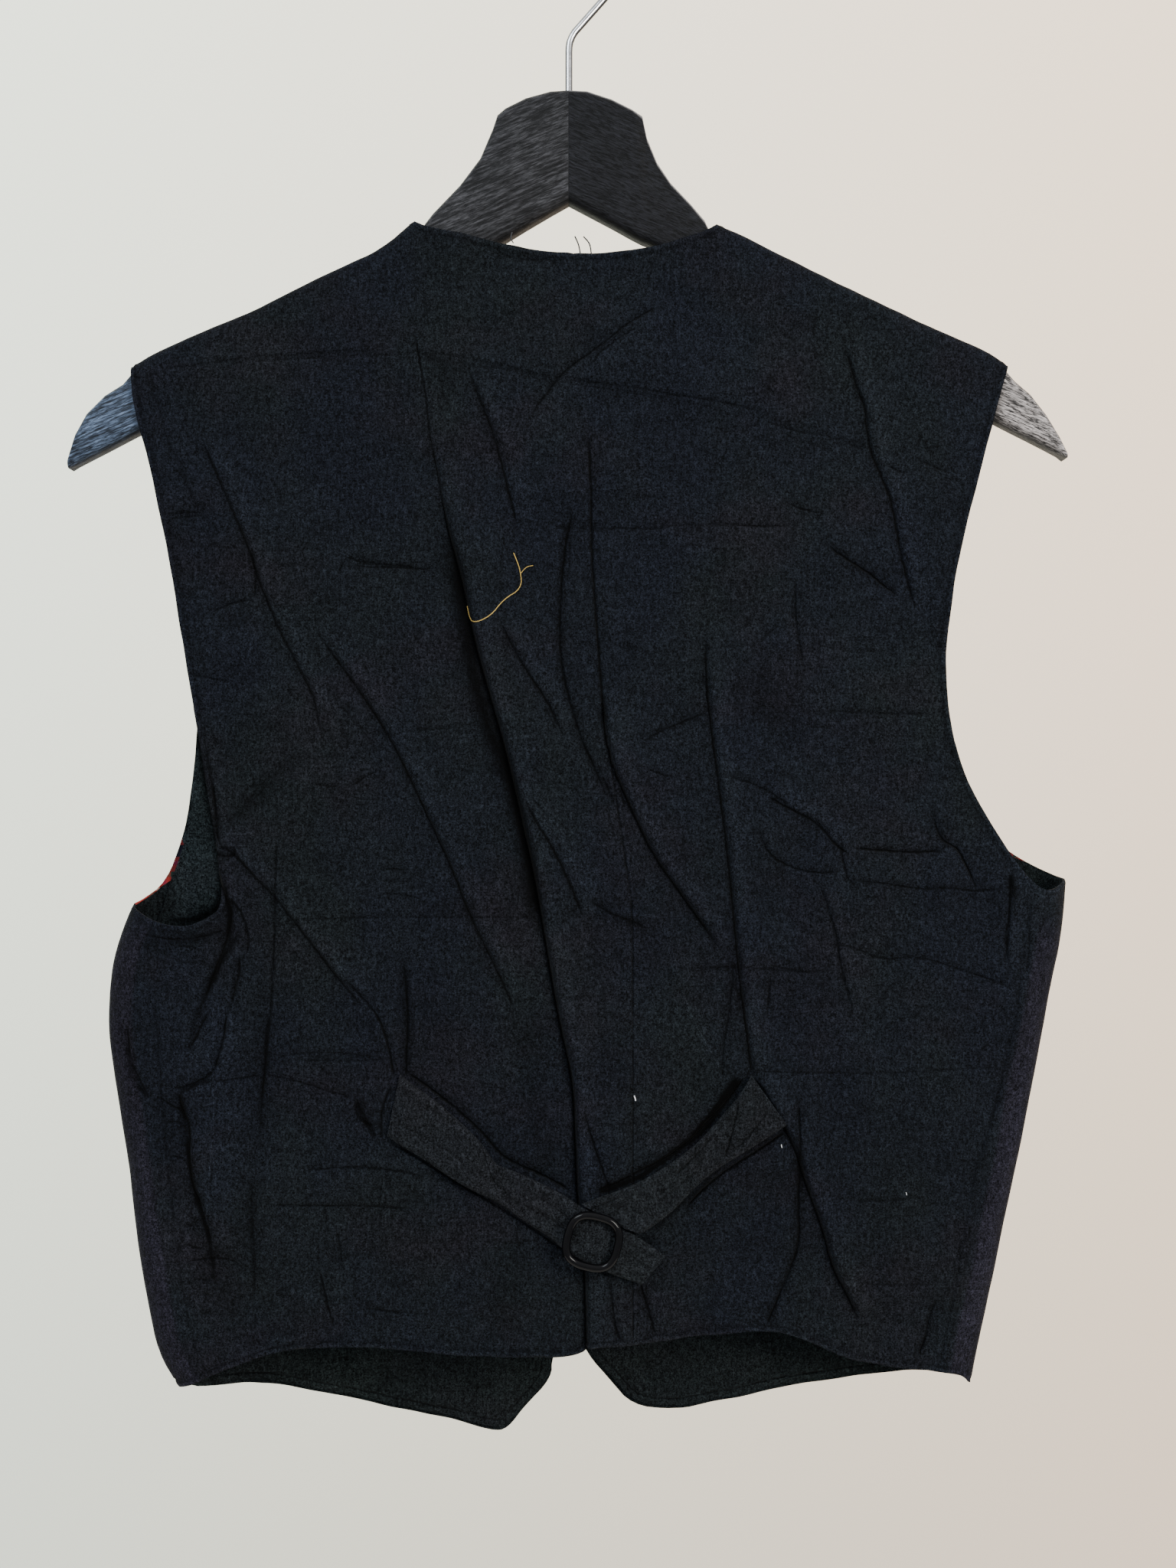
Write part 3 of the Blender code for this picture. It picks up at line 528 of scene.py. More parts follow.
def rolled(x, z):
    # How far the cloth has risen from its edge at the shoulder seams and the flanks, 0 to 1
    risen = 1.0
    for shoulder, flank, side in ((shoulderLeft, flankLeft, -1), (shoulderRight, flankRight, 1)):
        shoulder, flank = curved(shoulder), curved(flank)
        drop = rounded((readAt(shoulder, x, 0, 1) - z) / roll["shoulder"])
        share = np.clip(1.0 - (side * shoulder[0, 0] - side * x) / roll["neck"], 0.0, 1.0)
        across = rounded(side * (readAt(flank, z, 1, 0) - x) / roll["flank"])
        flankShare = 1.0 - smooth((z - flank[0, 1]) / roll["fade"])
        risen = risen * (1.0 - share * (1.0 - drop)) * (1.0 - flankShare * (1.0 - across))
    return risen


def standing(z, column):
    # How far a side of the vest stands from the middle plane at each height
    rows = np.array(sorted(depths)) * mm
    return np.interp(z, rows[:, 0], rows[:, column])


# The seam under the yoke, where the back is two layers thick above
yoke = ((-179, -205), (-140, -199), (-102, -196), (-66, -197), (-47, -199), (-28, -203), (-11, -207),
        (8, -209), (27, -213), (52, -217), (74, -220), (90, -225), (107, -230), (144, -242), (173, -250))
# Folds of the back: kind, height, width, how long they take to rise and to fade, route.
# Their order is the order in which their rows of points are laid, so it stays.
# A lip stands proud on the left of its route, seen along it, and drops sharply on the right.
# A tone has no height and only paints the cloth: a painted highlight where positive, a painted shadow where
# below nothing.
backFolds = (
    # The large folds and the first creases
    ("lip", 4.6, 24, 150, 3, ((-67, -185), (-65, -198), (-62, -215), (-60, -234), (-56, -253), (-52, -275),
        (-47, -292), (-40, -325), (-27, -370), (-14, -426), (-4, -485), (3, -517), (5, -568), (8, -598),
        (9, -640))),
    ("lip", 1.6, 9, 12, 20, ((-43, -205), (-36, -223), (-32, -233), (-28, -248), (-24, -264), (-20, -280))),
    ("crease", 1.6, 2.4, 15, 25, ((3, -262), (-1, -279), (-3, -297), (-4, -318), (-3, -337), (1, -353),
        (6, -369), (12, -381), (19, -399))),
    ("lip", 3.4, 15, 12, 20, ((15, -345), (18, -374), (28, -397), (38, -418), (51, -436), (61, -450),
        (69, -462))),
    ("lip", 2.4, 14, 22, 6, ((61, -318), (61, -341), (65, -377), (69, -406), (72, -434), (74, -459),
        (79, -499), (81, -515))),
    ("crease", 1, 1.8, 5, 5, ((72, -463), (71, -477), (69, -493), (67, -505), (67, -516))),
    ("crease", 2, 3, 6, 3, ((-72, -463), (-70, -483), (-71, -515))),
    ("lip", 1.9, 10, 22, 25, ((-112, -317), (-102, -330), (-86, -352), (-74, -372), (-63, -395),
        (-50, -423), (-42, -444), (-30, -468), (-20, -491))),
    ("lip", 1.5, 8, 15, 15, ((-162, -232), (-141, -279), (-135, -297), (-127, -317), (-117, -336),
        (-110, -349), (-107, -367))),
    ("crease", 0.9, 1.6, 12, 14, ((-127, -406), (-128, -440), (-129, -477), (-134, -526), (-135, -546))),
    ("crease", 1.2, 2.2, 5, 6, ((-193, -491), (-191, -509), (-182, -525))),
    ("lip", 0.5, 8, 6, 2, ((-179, -479), (-176, -528), (-172, -570), (-167, -609), (-160, -642))),
    ("crease", 0.5, 1.2, 20, 10, ((-127, -507), (-97, -508), (-74, -507))),
    ("ridge", 0.6, 3, 15, 12, ((-83, -617), (-64, -621), (-46, -624), (-36, -625))),
    ("crease", 1.2, 1.8, 5, 5, ((-93, -523), (-87, -537), (-83, -542))),
    ("crease", 1.2, 1.8, 5, 4, ((7, -530), (11, -544), (18, -563), (18, -570))),
    ("crease", 0.9, 1.5, 5, 2, ((18, -600), (20, -624), (23, -629))),
    ("crease", 1.2, 1.8, 3, 5, ((31, -604), (34, -614), (37, -624), (38, -629))),
    ("lip", 3.6, 15, 8, 10, ((81, -513), (87, -523), (93, -533), (100, -546), (105, -563), (112, -581),
        (116, -598), (124, -612), (128, -623))),
    ("crease", 1.5, 2.2, 8, 4, ((100, -523), (101, -554), (100, -572), (101, -584), (98, -597), (91, -612),
        (86, -623))),
    ("crease", 1.2, 2, 8, 4, ((161, -610), (158, -619), (156, -630), (152, -638))),
    ("crease", 0.8, 1.6, 10, 8, ((-99, -288), (-92, -292), (-78, -292), (-64, -293), (-55, -292))),
    ("crease", 0.3, 1.5, 20, 12, ((-14, -275), (7, -274), (30, -275), (56, -273), (77, -274), (103, -274))),
    ("crease", 0.9, 1.6, 6, 6, ((94, -263), (107, -268), (111, -268))),
    ("crease", 1.5, 2.4, 8, 8, ((111, -280), (119, -287), (128, -292), (137, -299), (146, -306))),
    ("lip", 1.8, 9, 10, 16, ((122, -192), (125, -203), (128, -214), (131, -220), (132, -232), (134, -242),
        (140, -255), (144, -269), (146, -285), (150, -300), (153, -313))),
    ("crease", 0.9, 1.6, 10, 12, ((100, -293), (99, -309), (101, -325), (103, -339))),
    ("crease", 1, 1.8, 5, 14, ((63, -355), (52, -359), (40, -364), (28, -371))),
    ("crease", 0.8, 1.4, 8, 8, ((31, -379), (40, -383), (49, -385))),
    ("lip", 1.8, 6, 4, 10, ((193, -425), (193, -440), (192, -454), (191, -467))),
    ("crease", 0.8, 1.4, 5, 8, ((201, -449), (201, -458), (199, -474))),
    ("lip", 1.5, 8, 15, 12, ((-31, -311), (-22, -330), (-15, -341), (-8, -351), (-1, -367))),
    ("lip", 1.6, 9, 14, 10, ((-19, -391), (-14, -402), (-6, -414), (3, -433), (8, -447))),
    ("crease", 1, 1.6, 5, 5, ((14, -382), (19, -393), (20, -398))),
    ("crease", 1.2, 2.2, 6, 8, ((8, -437), (19, -444), (28, -447), (37, -451))),
    ("ridge", 0.9, 4, 8, 6, ((42, -446), (46, -463), (49, -477), (56, -493), (63, -505), (67, -514))),
    ("crease", 0.6, 1.4, 12, 20, ((47, -468), (72, -466), (99, -469), (119, -468))),
    ("crease", 0.5, 1, 6, 10, ((80, -512), (108, -513), (135, -513), (172, -511), (195, -511))),
    ("crease", 0.5, 1.3, 15, 15, ((-79, -365), (-57, -363), (-36, -362))),
    ("ridge", 0.4, 1.4, 6, 6, ((-9, -260), (9, -258), (29, -258))),
    ("crease", 0.6, 1.3, 4, 8, ((-33, -150), (-29, -155), (-18, -157), (-6, -156), (-4, -165))),
    ("crease", 0.8, 1.6, 3, 5, ((-174, -271), (-159, -269))),
    ("lip", 0.5, 6, 4, 2, ((202, -437), (196, -484), (187, -528), (178, -554), (172, -590), (163, -641))),
    ("crease", 0.7, 1.4, 5, 8, ((88, -468), (87, -481), (87, -491))),
    ("crease", 0.7, 1.6, 18, 18, ((108, -355), (135, -356), (162, -357))),
    ("crease", 0.5, 1.2, 8, 8, ((-125, -446), (-70, -445), (-11, -445))),
    # The left armhole and flank
    ("ridge", 2, 14, 30, 30, ((-155, -470), (-154, -535), (-160, -600))),
    ("lip", 1.6, 6, 12, 12, ((-160, -379), (-158, -398), (-155, -413), (-153, -423), (-148, -436),
        (-146, -445))),
    ("crease", 2, 2.4, 8, 14, ((-148, -436), (-146, -445), (-151, -460), (-156, -473), (-159, -485))),
    ("crease", 1.2, 1.4, 8, 3, ((-156, -382), (-154, -398), (-153, -410), (-152, -414))),
    ("lip", 1.7, 7, 3, 14, ((-153, -414), (-148, -414), (-142, -420), (-135, -428), (-127, -436),
        (-120, -445), (-110, -458), (-99, -472), (-87, -486))),
    ("crease", 1.2, 1.2, 2, 2, ((-154, -417), (-150, -419), (-146, -418), (-144, -416), (-148, -414))),
    ("crease", 1.1, 1.3, 3, 5, ((-148, -436), (-142, -443), (-139, -455), (-141, -463))),
    ("crease", 1.4, 1.6, 3, 6, ((-144, -462), (-143, -468), (-146, -477), (-147, -486))),
    ("crease", 1, 1.8, 6, 4, ((-187, -452), (-174, -455), (-159, -454), (-149, -450))),
    ("crease", 0.7, 1.2, 3, 4, ((-173, -459), (-167, -457), (-158, -461))),
    ("crease", 0.6, 1.2, 3, 4, ((-172, -464), (-164, -465), (-157, -464))),
    ("crease", 0.6, 5, 12, 6, ((-126, -379), (-135, -388), (-144, -400), (-150, -405))),
    ("ridge", 0.4, 1.2, 3, 5, ((-150, -409), (-140, -409), (-131, -407))),
    ("ridge", 0.35, 0.8, 3, 3, ((-84, -428), (-72, -425))),
    # The neck and the right armhole
    ("lip", 1.3, 8, 6, 14, ((41, -177), (27, -185), (14, -196), (1, -204), (-6, -212), (-14, -223),
        (-19, -230))),
    ("crease", 0.8, 1, 6, 6, ((33, -185), (19, -193), (7, -205))),
    ("crease", 0.4, 2.4, 8, 4, ((-28, -193), (-11, -203), (0, -208))),
    ("lip", 1.6, 9, 5, 4, ((86, -391), (95, -396), (105, -401), (111, -405), (116, -412), (123, -417))),
    ("crease", 1.2, 1.5, 4, 8, ((124, -415), (136, -416), (150, -417), (166, -416))),
    ("crease", 1.3, 1.5, 8, 6, ((158, -397), (160, -405), (163, -412), (170, -415), (173, -422),
        (179, -434))),
    ("crease", 0.8, 1.1, 6, 3, ((165, -398), (165, -409))),
    ("crease", 0.9, 1.4, 6, 10, ((123, -429), (136, -430), (153, -433), (165, -432), (179, -434),
        (191, -432))),
    ("lip", 1.2, 7, 6, 14, ((110, -430), (114, -441), (118, -454), (119, -466), (123, -480), (125, -488))),
    ("crease", 0.8, 1.5, 10, 12, ((106, -457), (122, -457), (136, -464), (153, -462), (171, -468),
        (195, -476))),
    ("crease", 0.6, 1.2, 4, 8, ((86, -466), (98, -468), (110, -469))),
    # Below the left armhole
    ("crease", 1.4, 1.4, 3, 3, ((-157, -486), (-160, -493), (-165, -503))),
    ("lip", 1.7, 5, 4, 5, ((-148, -486), (-149, -497), (-152, -508), (-155, -514), (-163, -518),
        (-170, -521))),
    ("crease", 1.7, 1.6, 3, 10, ((-170, -521), (-168, -530), (-165, -535), (-165, -548), (-164, -561),
        (-159, -574), (-155, -591))),
    ("crease", 1, 1.2, 6, 10, ((-131, -486), (-132, -501), (-133, -514), (-134, -529))),
    ("crease", 0.7, 1, 4, 6, ((-132, -514), (-123, -515), (-114, -518), (-104, -521), (-92, -524))),
    ("crease", 0.8, 1.2, 4, 4, ((-174, -520), (-159, -517), (-142, -515), (-132, -514))),
    ("crease", 0.8, 1.1, 3, 4, ((-168, -581), (-164, -579), (-159, -580))),
    ("crease", 0.8, 1.1, 3, 4, ((-167, -587), (-162, -590), (-157, -589))),
    ("crease", 0.9, 1.2, 3, 8, ((-166, -595), (-157, -594), (-148, -594), (-140, -599))),
    ("crease", 0.8, 1, 3, 4, ((-164, -603), (-160, -603), (-155, -604))),
    ("crease", 0.8, 1, 3, 4, ((-162, -610), (-158, -610), (-154, -612))),
    ("crease", 0.7, 1, 3, 4, ((-161, -618), (-155, -619))),
    ("crease", 0.9, 2.6, 14, 14, ((-138, -557), (-138, -576), (-137, -591), (-137, -606), (-138, -616))),
    ("crease", 0.8, 1.2, 6, 10, ((-118, -556), (-104, -554), (-87, -554), (-72, -556), (-61, -558))),
    ("crease", 0.8, 1.2, 8, 10, ((-132, -570), (-114, -571), (-91, -571), (-72, -572), (-65, -572))),
    ("crease", 1, 1.3, 4, 6, ((-109, -599), (-106, -610), (-102, -626))),
    ("crease", 0.7, 1.1, 6, 8, ((-91, -615), (-80, -617), (-61, -619))),
    ("crease", 0.6, 1.4, 8, 12, ((-131, -507), (-115, -504), (-98, -504), (-87, -506), (-76, -506))),
    ("crease", 1, 1.2, 3, 3, ((-92, -524), (-91, -531), (-86, -540), (-84, -542))),
    ("ridge", 0.5, 1.4, 8, 8, ((-157, -641), (-142, -636), (-121, -630), (-110, -626))),
    # The yoke's seam
    ("lip", 0.45, 5, 20, 20, yoke[:9]),
    ("lip", 0.3, 5, 20, 30, yoke[8:]),
    ("crease", 0.35, 0.8, 20, 12, tuple((x, z - 2.7) for x, z in yoke[1:5])),
    ("crease", 0.3, 0.8, 14, 18, tuple((x, z - 2.6) for x, z in yoke[5:10])),
    # Shadows beside the cinch strap's edges
    ("crease", 2.2, 1.6, 6, 5, ((77, -514), (71, -523), (63, -532), (53, -543), (44, -549), (36, -553),
        (28, -557), (19, -561), (11, -564))),
    ("crease", 1.4, 1.2, 6, 5, ((96, -537), (86, -544), (77, -550), (66, -557), (57, -565), (50, -573))),
    ("crease", 1.6, 1.4, 6, 8, ((-72, -512), (-63, -518), (-54, -524), (-41, -535), (-35, -542),
        (-29, -550), (-16, -556), (-7, -560), (3, -566))),
    ("tone", -2.6, 1.7, 6, 8, ((75, -513), (69, -522), (63, -531), (58, -538), (52, -543))),
    ("tone", -2.2, 1, 8, 10, ((58, -539), (50, -545), (41, -551), (33, -557), (26, -560), (17, -563),
        (8, -565))),
    ("tone", -0.9, 1.2, 6, 8, ((91, -539), (81, -544), (72, -548), (62, -558), (56, -564), (43, -575),
        (34, -584))),
    # Painted shadows and painted highlights on the pale edges beside the flanks and armholes
    ("tone", -0.4, 6, 14, 14, ((-17, -479), (-17, -512), (-12, -536), (-8, -560))),
    ("tone", -0.35, 6, 8, 14, ((-19, -583), (-26, -600), (-30, -618), (-31, -635))),
    ("tone", -1.1, 1.3, 8, 10, ((-141, -448), (-151, -463), (-158, -478), (-164, -495), (-166, -504))),
    ("tone", -1.1, 1.1, 6, 14, ((-169, -520), (-166, -546), (-162, -569), (-155, -592), (-155, -610))),
    ("tone", -0.4, 6, 20, 20, ((-173, -510), (-172, -542), (-164, -573), (-150, -607), (-142, -629))),
    ("tone", -0.35, 5, 20, 20, ((-138, -476), (-134, -505), (-135, -535), (-138, -573), (-139, -599))),
    ("tone", 0.35, 5, 20, 10, ((-188, -520), (-184, -550), (-178, -580), (-172, -610), (-166, -633))),
    ("tone", -1.3, 1.2, 20, 10, ((-162, -359), (-159, -383), (-158, -396), (-154, -412), (-151, -428),
        (-148, -437), (-148, -449), (-149, -459))),
    ("tone", -0.8, 1, 8, 6, ((-159, -372), (-156, -388), (-154, -402), (-153, -412))),
    ("tone", 0.8, 1.4, 4, 4, ((193, -422), (196, -426), (200, -431), (204, -435), (208, -436), (213, -434),
        (217, -432))),
    ("tone", -1.2, 1.5, 4, 6, ((193, -424), (193, -429), (194, -434), (194, -441))),
    # Finer creases and shadows
    ("crease", 0.6, 1.1, 20, 12, ((53, -273), (66, -273), (80, -274), (91, -274), (102, -273))),
    ("crease", 0.5, 1, 12, 10, ((82, -226), (98, -232), (112, -234), (123, -237), (135, -243))),
    ("crease", 0.8, 1.1, 3, 5, ((139, -247), (145, -250), (150, -251))),
    ("crease", 0.6, 1, 4, 6, ((153, -245), (162, -249), (171, -252))),
    ("crease", 0.8, 1.1, 10, 8, ((64, -382), (78, -386), (89, -391), (98, -398))),
    ("crease", 0.9, 1.1, 4, 8, ((82, -406), (87, -418), (94, -422), (105, -426), (121, -425))),
    ("crease", 0.8, 1, 4, 6, ((118, -411), (120, -422), (122, -430), (128, -431))),
    ("tone", -0.35, 10, 12, 12, ((77, -333), (85, -351), (96, -363), (107, -370))),
    ("tone", -0.3, 8, 12, 12, ((78, -436), (89, -425), (94, -411))),
    ("crease", 1.3, 1.2, 8, 4, ((-99, -470), (-88, -482), (-82, -490), (-78, -503), (-76, -516))),
    ("crease", 1.2, 1.2, 3, 4, ((-77, -518), (-81, -527), (-82, -537), (-81, -543))),
    ("crease", 1.2, 1.2, 4, 4, ((-93, -524), (-92, -533), (-85, -537), (-84, -534))),
    ("tone", -0.9, 1.1, 6, 4, ((-193, -498), (-192, -510), (-188, -519), (-181, -525))),
    ("crease", 1.1, 1.1, 4, 6, ((-151, -506), (-155, -514), (-164, -519), (-170, -522))),
    ("crease", 1.1, 1.1, 3, 4, ((-179, -523), (-172, -528), (-166, -530))),
    ("crease", 1, 1, 3, 4, ((-177, -535), (-171, -534), (-166, -536))),
    ("crease", 1, 1, 3, 4, ((-175, -550), (-170, -549), (-165, -551))),
    ("crease", 0.9, 1, 3, 4, ((-169, -564), (-163, -566), (-159, -571))),
    ("crease", 0.7, 1, 6, 8, ((-102, -580), (-99, -590), (-100, -601))),
    ("crease", 0.8, 1.1, 6, 6, ((-96, -389), (-89, -384), (-80, -379))),
    ("crease", 0.7, 1, 6, 6, ((-114, -386), (-106, -388), (-98, -388))),
    ("crease", 0.7, 0.9, 6, 6, ((-84, -425), (-76, -424), (-68, -425))),
    ("crease", 0.6, 0.9, 6, 6, ((-83, -428), (-74, -430), (-66, -429))),
    ("crease", 0.6, 0.9, 6, 6, ((-84, -435), (-74, -435), (-64, -437))),
    ("tone", -0.5, 4, 10, 14, ((-150, -405), (-140, -398), (-131, -389), (-123, -378), (-119, -365))),
    ("tone", -0.6, 2.2, 8, 8, ((-192, -457), (-178, -458), (-163, -455), (-151, -450))),
    ("tone", -1.5, 4.2, 40, 20, ((-55, -261), (-51, -285), (-47, -309), (-43, -334), (-36, -360),
        (-27, -382), (-21, -404), (-16, -431), (-13, -455))),
    ("crease", 1.4, 1.3, 20, 8, ((8, -229), (10, -257), (10, -285), (12, -313), (14, -340), (16, -364))),
    ("crease", 0.55, 1, 8, 10, ((-3, -209), (8, -210), (23, -212), (46, -216), (70, -220), (86, -224))),
    ("tone", -0.35, 1, 8, 14, ((8, -211), (23, -214), (46, -218), (70, -222))),
    ("crease", 0.35, 1, 10, 10, ((-68, -201), (-43, -203), (-21, -206), (-3, -209))),
    ("tone", -0.4, 3, 10, 14, ((-68, -440), (-47, -440), (-19, -441))),
    ("crease", 0.8, 1, 4, 6, ((-17, -392), (-13, -396), (-8, -403))),
    ("crease", 0.5, 1, 10, 10, ((-13, -274), (13, -275), (46, -275))),
    ("crease", 1, 0.9, 3, 3, ((-139, -282), (-137, -297), (-138, -306))),
    ("crease", 0.9, 1, 3, 10, ((-138, -306), (-149, -308), (-160, -314))),
    ("tone", -0.5, 3, 6, 8, ((-139, -308), (-145, -315), (-149, -322))),
    ("crease", 0.8, 1, 5, 10, ((-167, -339), (-156, -341), (-143, -343))),
    ("crease", 1, 1, 4, 6, ((-100, -297), (-100, -292), (-97, -288))),
    ("crease", 0.9, 1, 3, 12, ((-97, -288), (-89, -290), (-76, -291), (-61, -293))),
    ("tone", -0.55, 0.45, 4, 6, ((-183, -208), (-180, -220), (-177, -233), (-172, -245), (-167, -256),
        (-160, -269), (-154, -277))),
    ("crease", 0.9, 1, 4, 4, ((-175, -269), (-165, -268), (-160, -268))),
    ("tone", 0.4, 4.5, 20, 12, ((208, -472), (202, -510), (192, -554), (183, -596), (172, -639))),
    ("tone", -0.45, 1, 12, 12, ((201, -472), (191, -510), (183, -539), (176, -577), (171, -607),
        (165, -641))),
    ("crease", 0.6, 1, 10, 14, ((119, -568), (136, -569), (155, -567))),
    ("crease", 0.5, 1, 10, 14, ((127, -605), (146, -605), (165, -605))),
    ("crease", 0.8, 0.8, 8, 8, ((-80, -543), (-71, -547), (-62, -552), (-50, -560), (-35, -569),
        (-22, -577), (-15, -581), (-3, -590), (6, -595), (22, -603))),
)
# Folds of the two fronts in the same columns
frontFolds = (
    ("ridge", 2.2, 14, 30, 40, ((-150, -240), (-134, -320), (-128, -400))),
    ("ridge", 2.2, 14, 30, 40, ((148, -236), (133, -320), (130, -396))),
    ("lip", 2.4, 12, 20, 30, ((-150, -440), (-124, -486), (-80, -520))),
    ("lip", 2.2, 12, 20, 30, ((84, -505), (126, -480), (152, -436))),
    ("ridge", 2.6, 16, 40, 20, ((-120, -520), (-106, -590), (-100, -660))),
    ("ridge", 2.6, 16, 40, 20, ((118, -510), (101, -583), (92, -655))),
    ("ridge", 1.8, 14, 60, 30, ((-64, -420), (-70, -530), (-70, -640))),
    ("ridge", 1.8, 14, 60, 30, ((66, -430), (66, -540), (60, -650))),
    ("crease", 1.2, 3.0, 12, 20, ((-168, -372), (-140, -392), (-112, -398))),
    ("crease", 1.3, 3.0, 12, 24, ((168, -378), (138, -402), (104, -410))),
    ("crease", 0.9, 2.2, 16, 16, ((-60, -210), (-86, -232), (-120, -238))),
    ("crease", 1.0, 2.2, 16, 16, ((64, -214), (94, -240), (131, -244))),
    ("lip", 1.2, 8, 14, 18, ((-92, -560), (-60, -574), (-22, -572))),
    ("lip", 1.1, 8, 14, 18, ((24, -566), (62, -582), (96, -574))),
)
foldAsides = dict(lip=(-1.9, -1.0, -0.2, 0.6, 1.5), crease=(-0.9, 0.0, 0.9))
# A lip drops within `drop` mm or a share of its width, its foot and its crest so many drops aside. Its foot
# gets painted shade and its crest a painted highlight; creaseMark and ridgeMark size a crease's painted shade
# and a ridge's painted highlight.
foldShape = dict(drop=2.6, dropShare=0.3, foot=0.35, footAt=0.4, footWidth=0.9, crest=0.45, crestAt=1.5,
                 crestWidth=1.4, creaseMark=0.7, ridgeMark=0.4, full=1.6)


def nearRoute(route, x, z, reach):
    # The points near a route, how far aside of it, how far along it, and the route's length
    low, high = route.min(axis=0) - reach, route.max(axis=0) + reach
    near = np.flatnonzero((x > low[0]) & (x < high[0]) & (z > low[1]) & (z < high[1]))
    px, pz = x[near], z[near]
    nearest = np.full(len(near), 1.0)
    aside = np.zeros(len(near))
    travelled = np.zeros(len(near))
    done = 0.0
    for start, end in zip(route, route[1:]):
        length = np.hypot(*(end - start))
        run = (end - start) / length
        dx, dz = px - start[0], pz - start[1]
        ahead = np.clip(dx * run[0] + dz * run[1], 0.0, length)
        distance = np.hypot(dx - ahead * run[0], dz - ahead * run[1])
        closer = distance < nearest
        side = np.where(dz * run[0] - dx * run[1] > 0.0, 1.0, -1.0)
        aside = np.where(closer, side * distance, aside)
        travelled = np.where(closer, done + ahead, travelled)
        nearest = np.where(closer, distance, nearest)
        done += length
    return near, aside, travelled, done


def foldRelief(folds, x, z):
    # How far the folds move the cloth out, and how much painted highlight and painted shade they put on it
    relief = np.zeros_like(x)
    paintedLightAndWear = np.zeros_like(x)
    for kind, height, width, rise, fade, table in folds:
        height, width = height * mm, width * mm
        route = curved(table)
        near, aside, travelled, length = nearRoute(route, x, z, 4.0 * width + 2.0 * mm)
        risen = smooth(travelled / (rise * mm)) * smooth((length - travelled) / (fade * mm))
        out = np.abs(aside)
        if kind == "lip":
            drop = min(foldShape["drop"] * mm, foldShape["dropShare"] * width)
            foot = np.exp(-np.abs(aside + foldShape["footAt"] * drop) / (foldShape["footWidth"] * mm))
            shape = smooth(aside / drop + 0.5) * np.exp(-np.maximum(aside, 0.0) / width)
            shape -= foldShape["foot"] * foot
            crest = np.exp(-((aside - foldShape["crestAt"] * drop) / (foldShape["crestWidth"] * drop)) ** 2)
            paintedFoldShade = foldShape["crest"] * crest - foot
        elif kind == "crease":
            shape = -np.exp(-out / width)
            paintedFoldShade = -np.exp(-(out / (foldShape["creaseMark"] * width)) ** 2)
        elif kind == "tone":
            # A tone is a painted shadow when negative and a painted highlight when positive, with no height
            paintedLightAndWear[near] += height / mm * np.exp(-(aside / width) ** 2) * risen
            continue
        else:
            shape = np.exp(-(aside / width) ** 2)
            paintedFoldShade = foldShape["ridgeMark"] * shape
        relief[near] += shape * risen * height
        paintedLightAndWear[near] += paintedFoldShade * risen * min(1.0, height / (foldShape["full"] * mm))
    return relief, paintedLightAndWear


def creaseField(folds, x, z):
    # How far aside of the nearest sharp crease each point lies, in mm, and how strong that crease is.
    # A crease's paler rim lies on its side away from the light above left, a lip's on its proud side.
    best = np.zeros_like(x)
    aside = np.full_like(x, crispCrease["reach"])
    strength = np.zeros_like(x)
    for kind, height, width, rise, fade, table in folds:
        if kind == "tone":
            continue
        route = curved(table)
        near, off, travelled, length = nearRoute(route, x, z, crispCrease["reach"] * mm)
        off = off / mm
        rise, fade = min(rise, crispCrease["ends"]), min(fade, crispCrease["ends"])
        risen = smooth(travelled / (rise * mm)) * smooth((length - travelled) / (fade * mm))
        run = route[-1] - route[0]
        if kind == "lip":
            off = off + foldShape["footAt"] * min(foldShape["drop"], foldShape["dropShare"] * width)
        elif 0.9 * run[0] + 0.4 * run[1] > 0.0:
            off = -off
        power = np.clip(height / crispCrease[kind], -1.0, 1.0) * risen
        power *= np.exp(-(off / crispCrease["near"]) ** 2)
        closer = np.abs(power) > best[near]
        spots = near[closer]
        best[spots] = np.abs(power[closer])
        aside[spots] = off[closer]
        strength[spots] = power[closer]
    return aside, strength


crumple = dict(seed=23, count=560, lengths=(7, 34), heights=(0.10, 0.42), widths=(0.5, 1.5),
               lean=13, upright=0.34, bend=0.10, longer=0.35, ends=0.35, ridges=0.25,
               low=(-205.0, -655.0), high=(222.0, -138.0))
wrinkle = dict(crumple, seed=61, count=900, lengths=(4, 20), heights=(0.12, 0.5), widths=(0.5, 1.0),
               lean=16, upright=0.25, bend=0.12)
billow = dict(seed=5, waves=44, lengths=(11, 75), height=0.011)


def crumpleFolds(settings):
    # Many short shallow creases from long pressing, most of them lying level
    chance = np.random.default_rng(settings["seed"])
    folds = []
    for _ in range(settings["count"]):
        start = chance.uniform(settings["low"], settings["high"])
        lean = math.radians(chance.normal(90.0 if chance.random() < settings["upright"] else 0.0,
                                          settings["lean"]))
        length = settings["lengths"][0] + chance.exponential(settings["longer"]) * settings["lengths"][1]
        height = chance.uniform(*settings["heights"]) * min(1.0, 0.4 + length / 30.0)
        width = chance.uniform(*settings["widths"])
        points = [start + length * share * np.array((math.cos(lean), math.sin(lean)))
                  + length * settings["bend"] * chance.normal(size=2) for share in (0.0, 0.35, 0.7, 1.0)]
        kind = "ridge" if chance.random() < settings["ridges"] else "crease"
        folds.append((kind, height, width, settings["ends"] * length, settings["ends"] * length, points))
    return folds


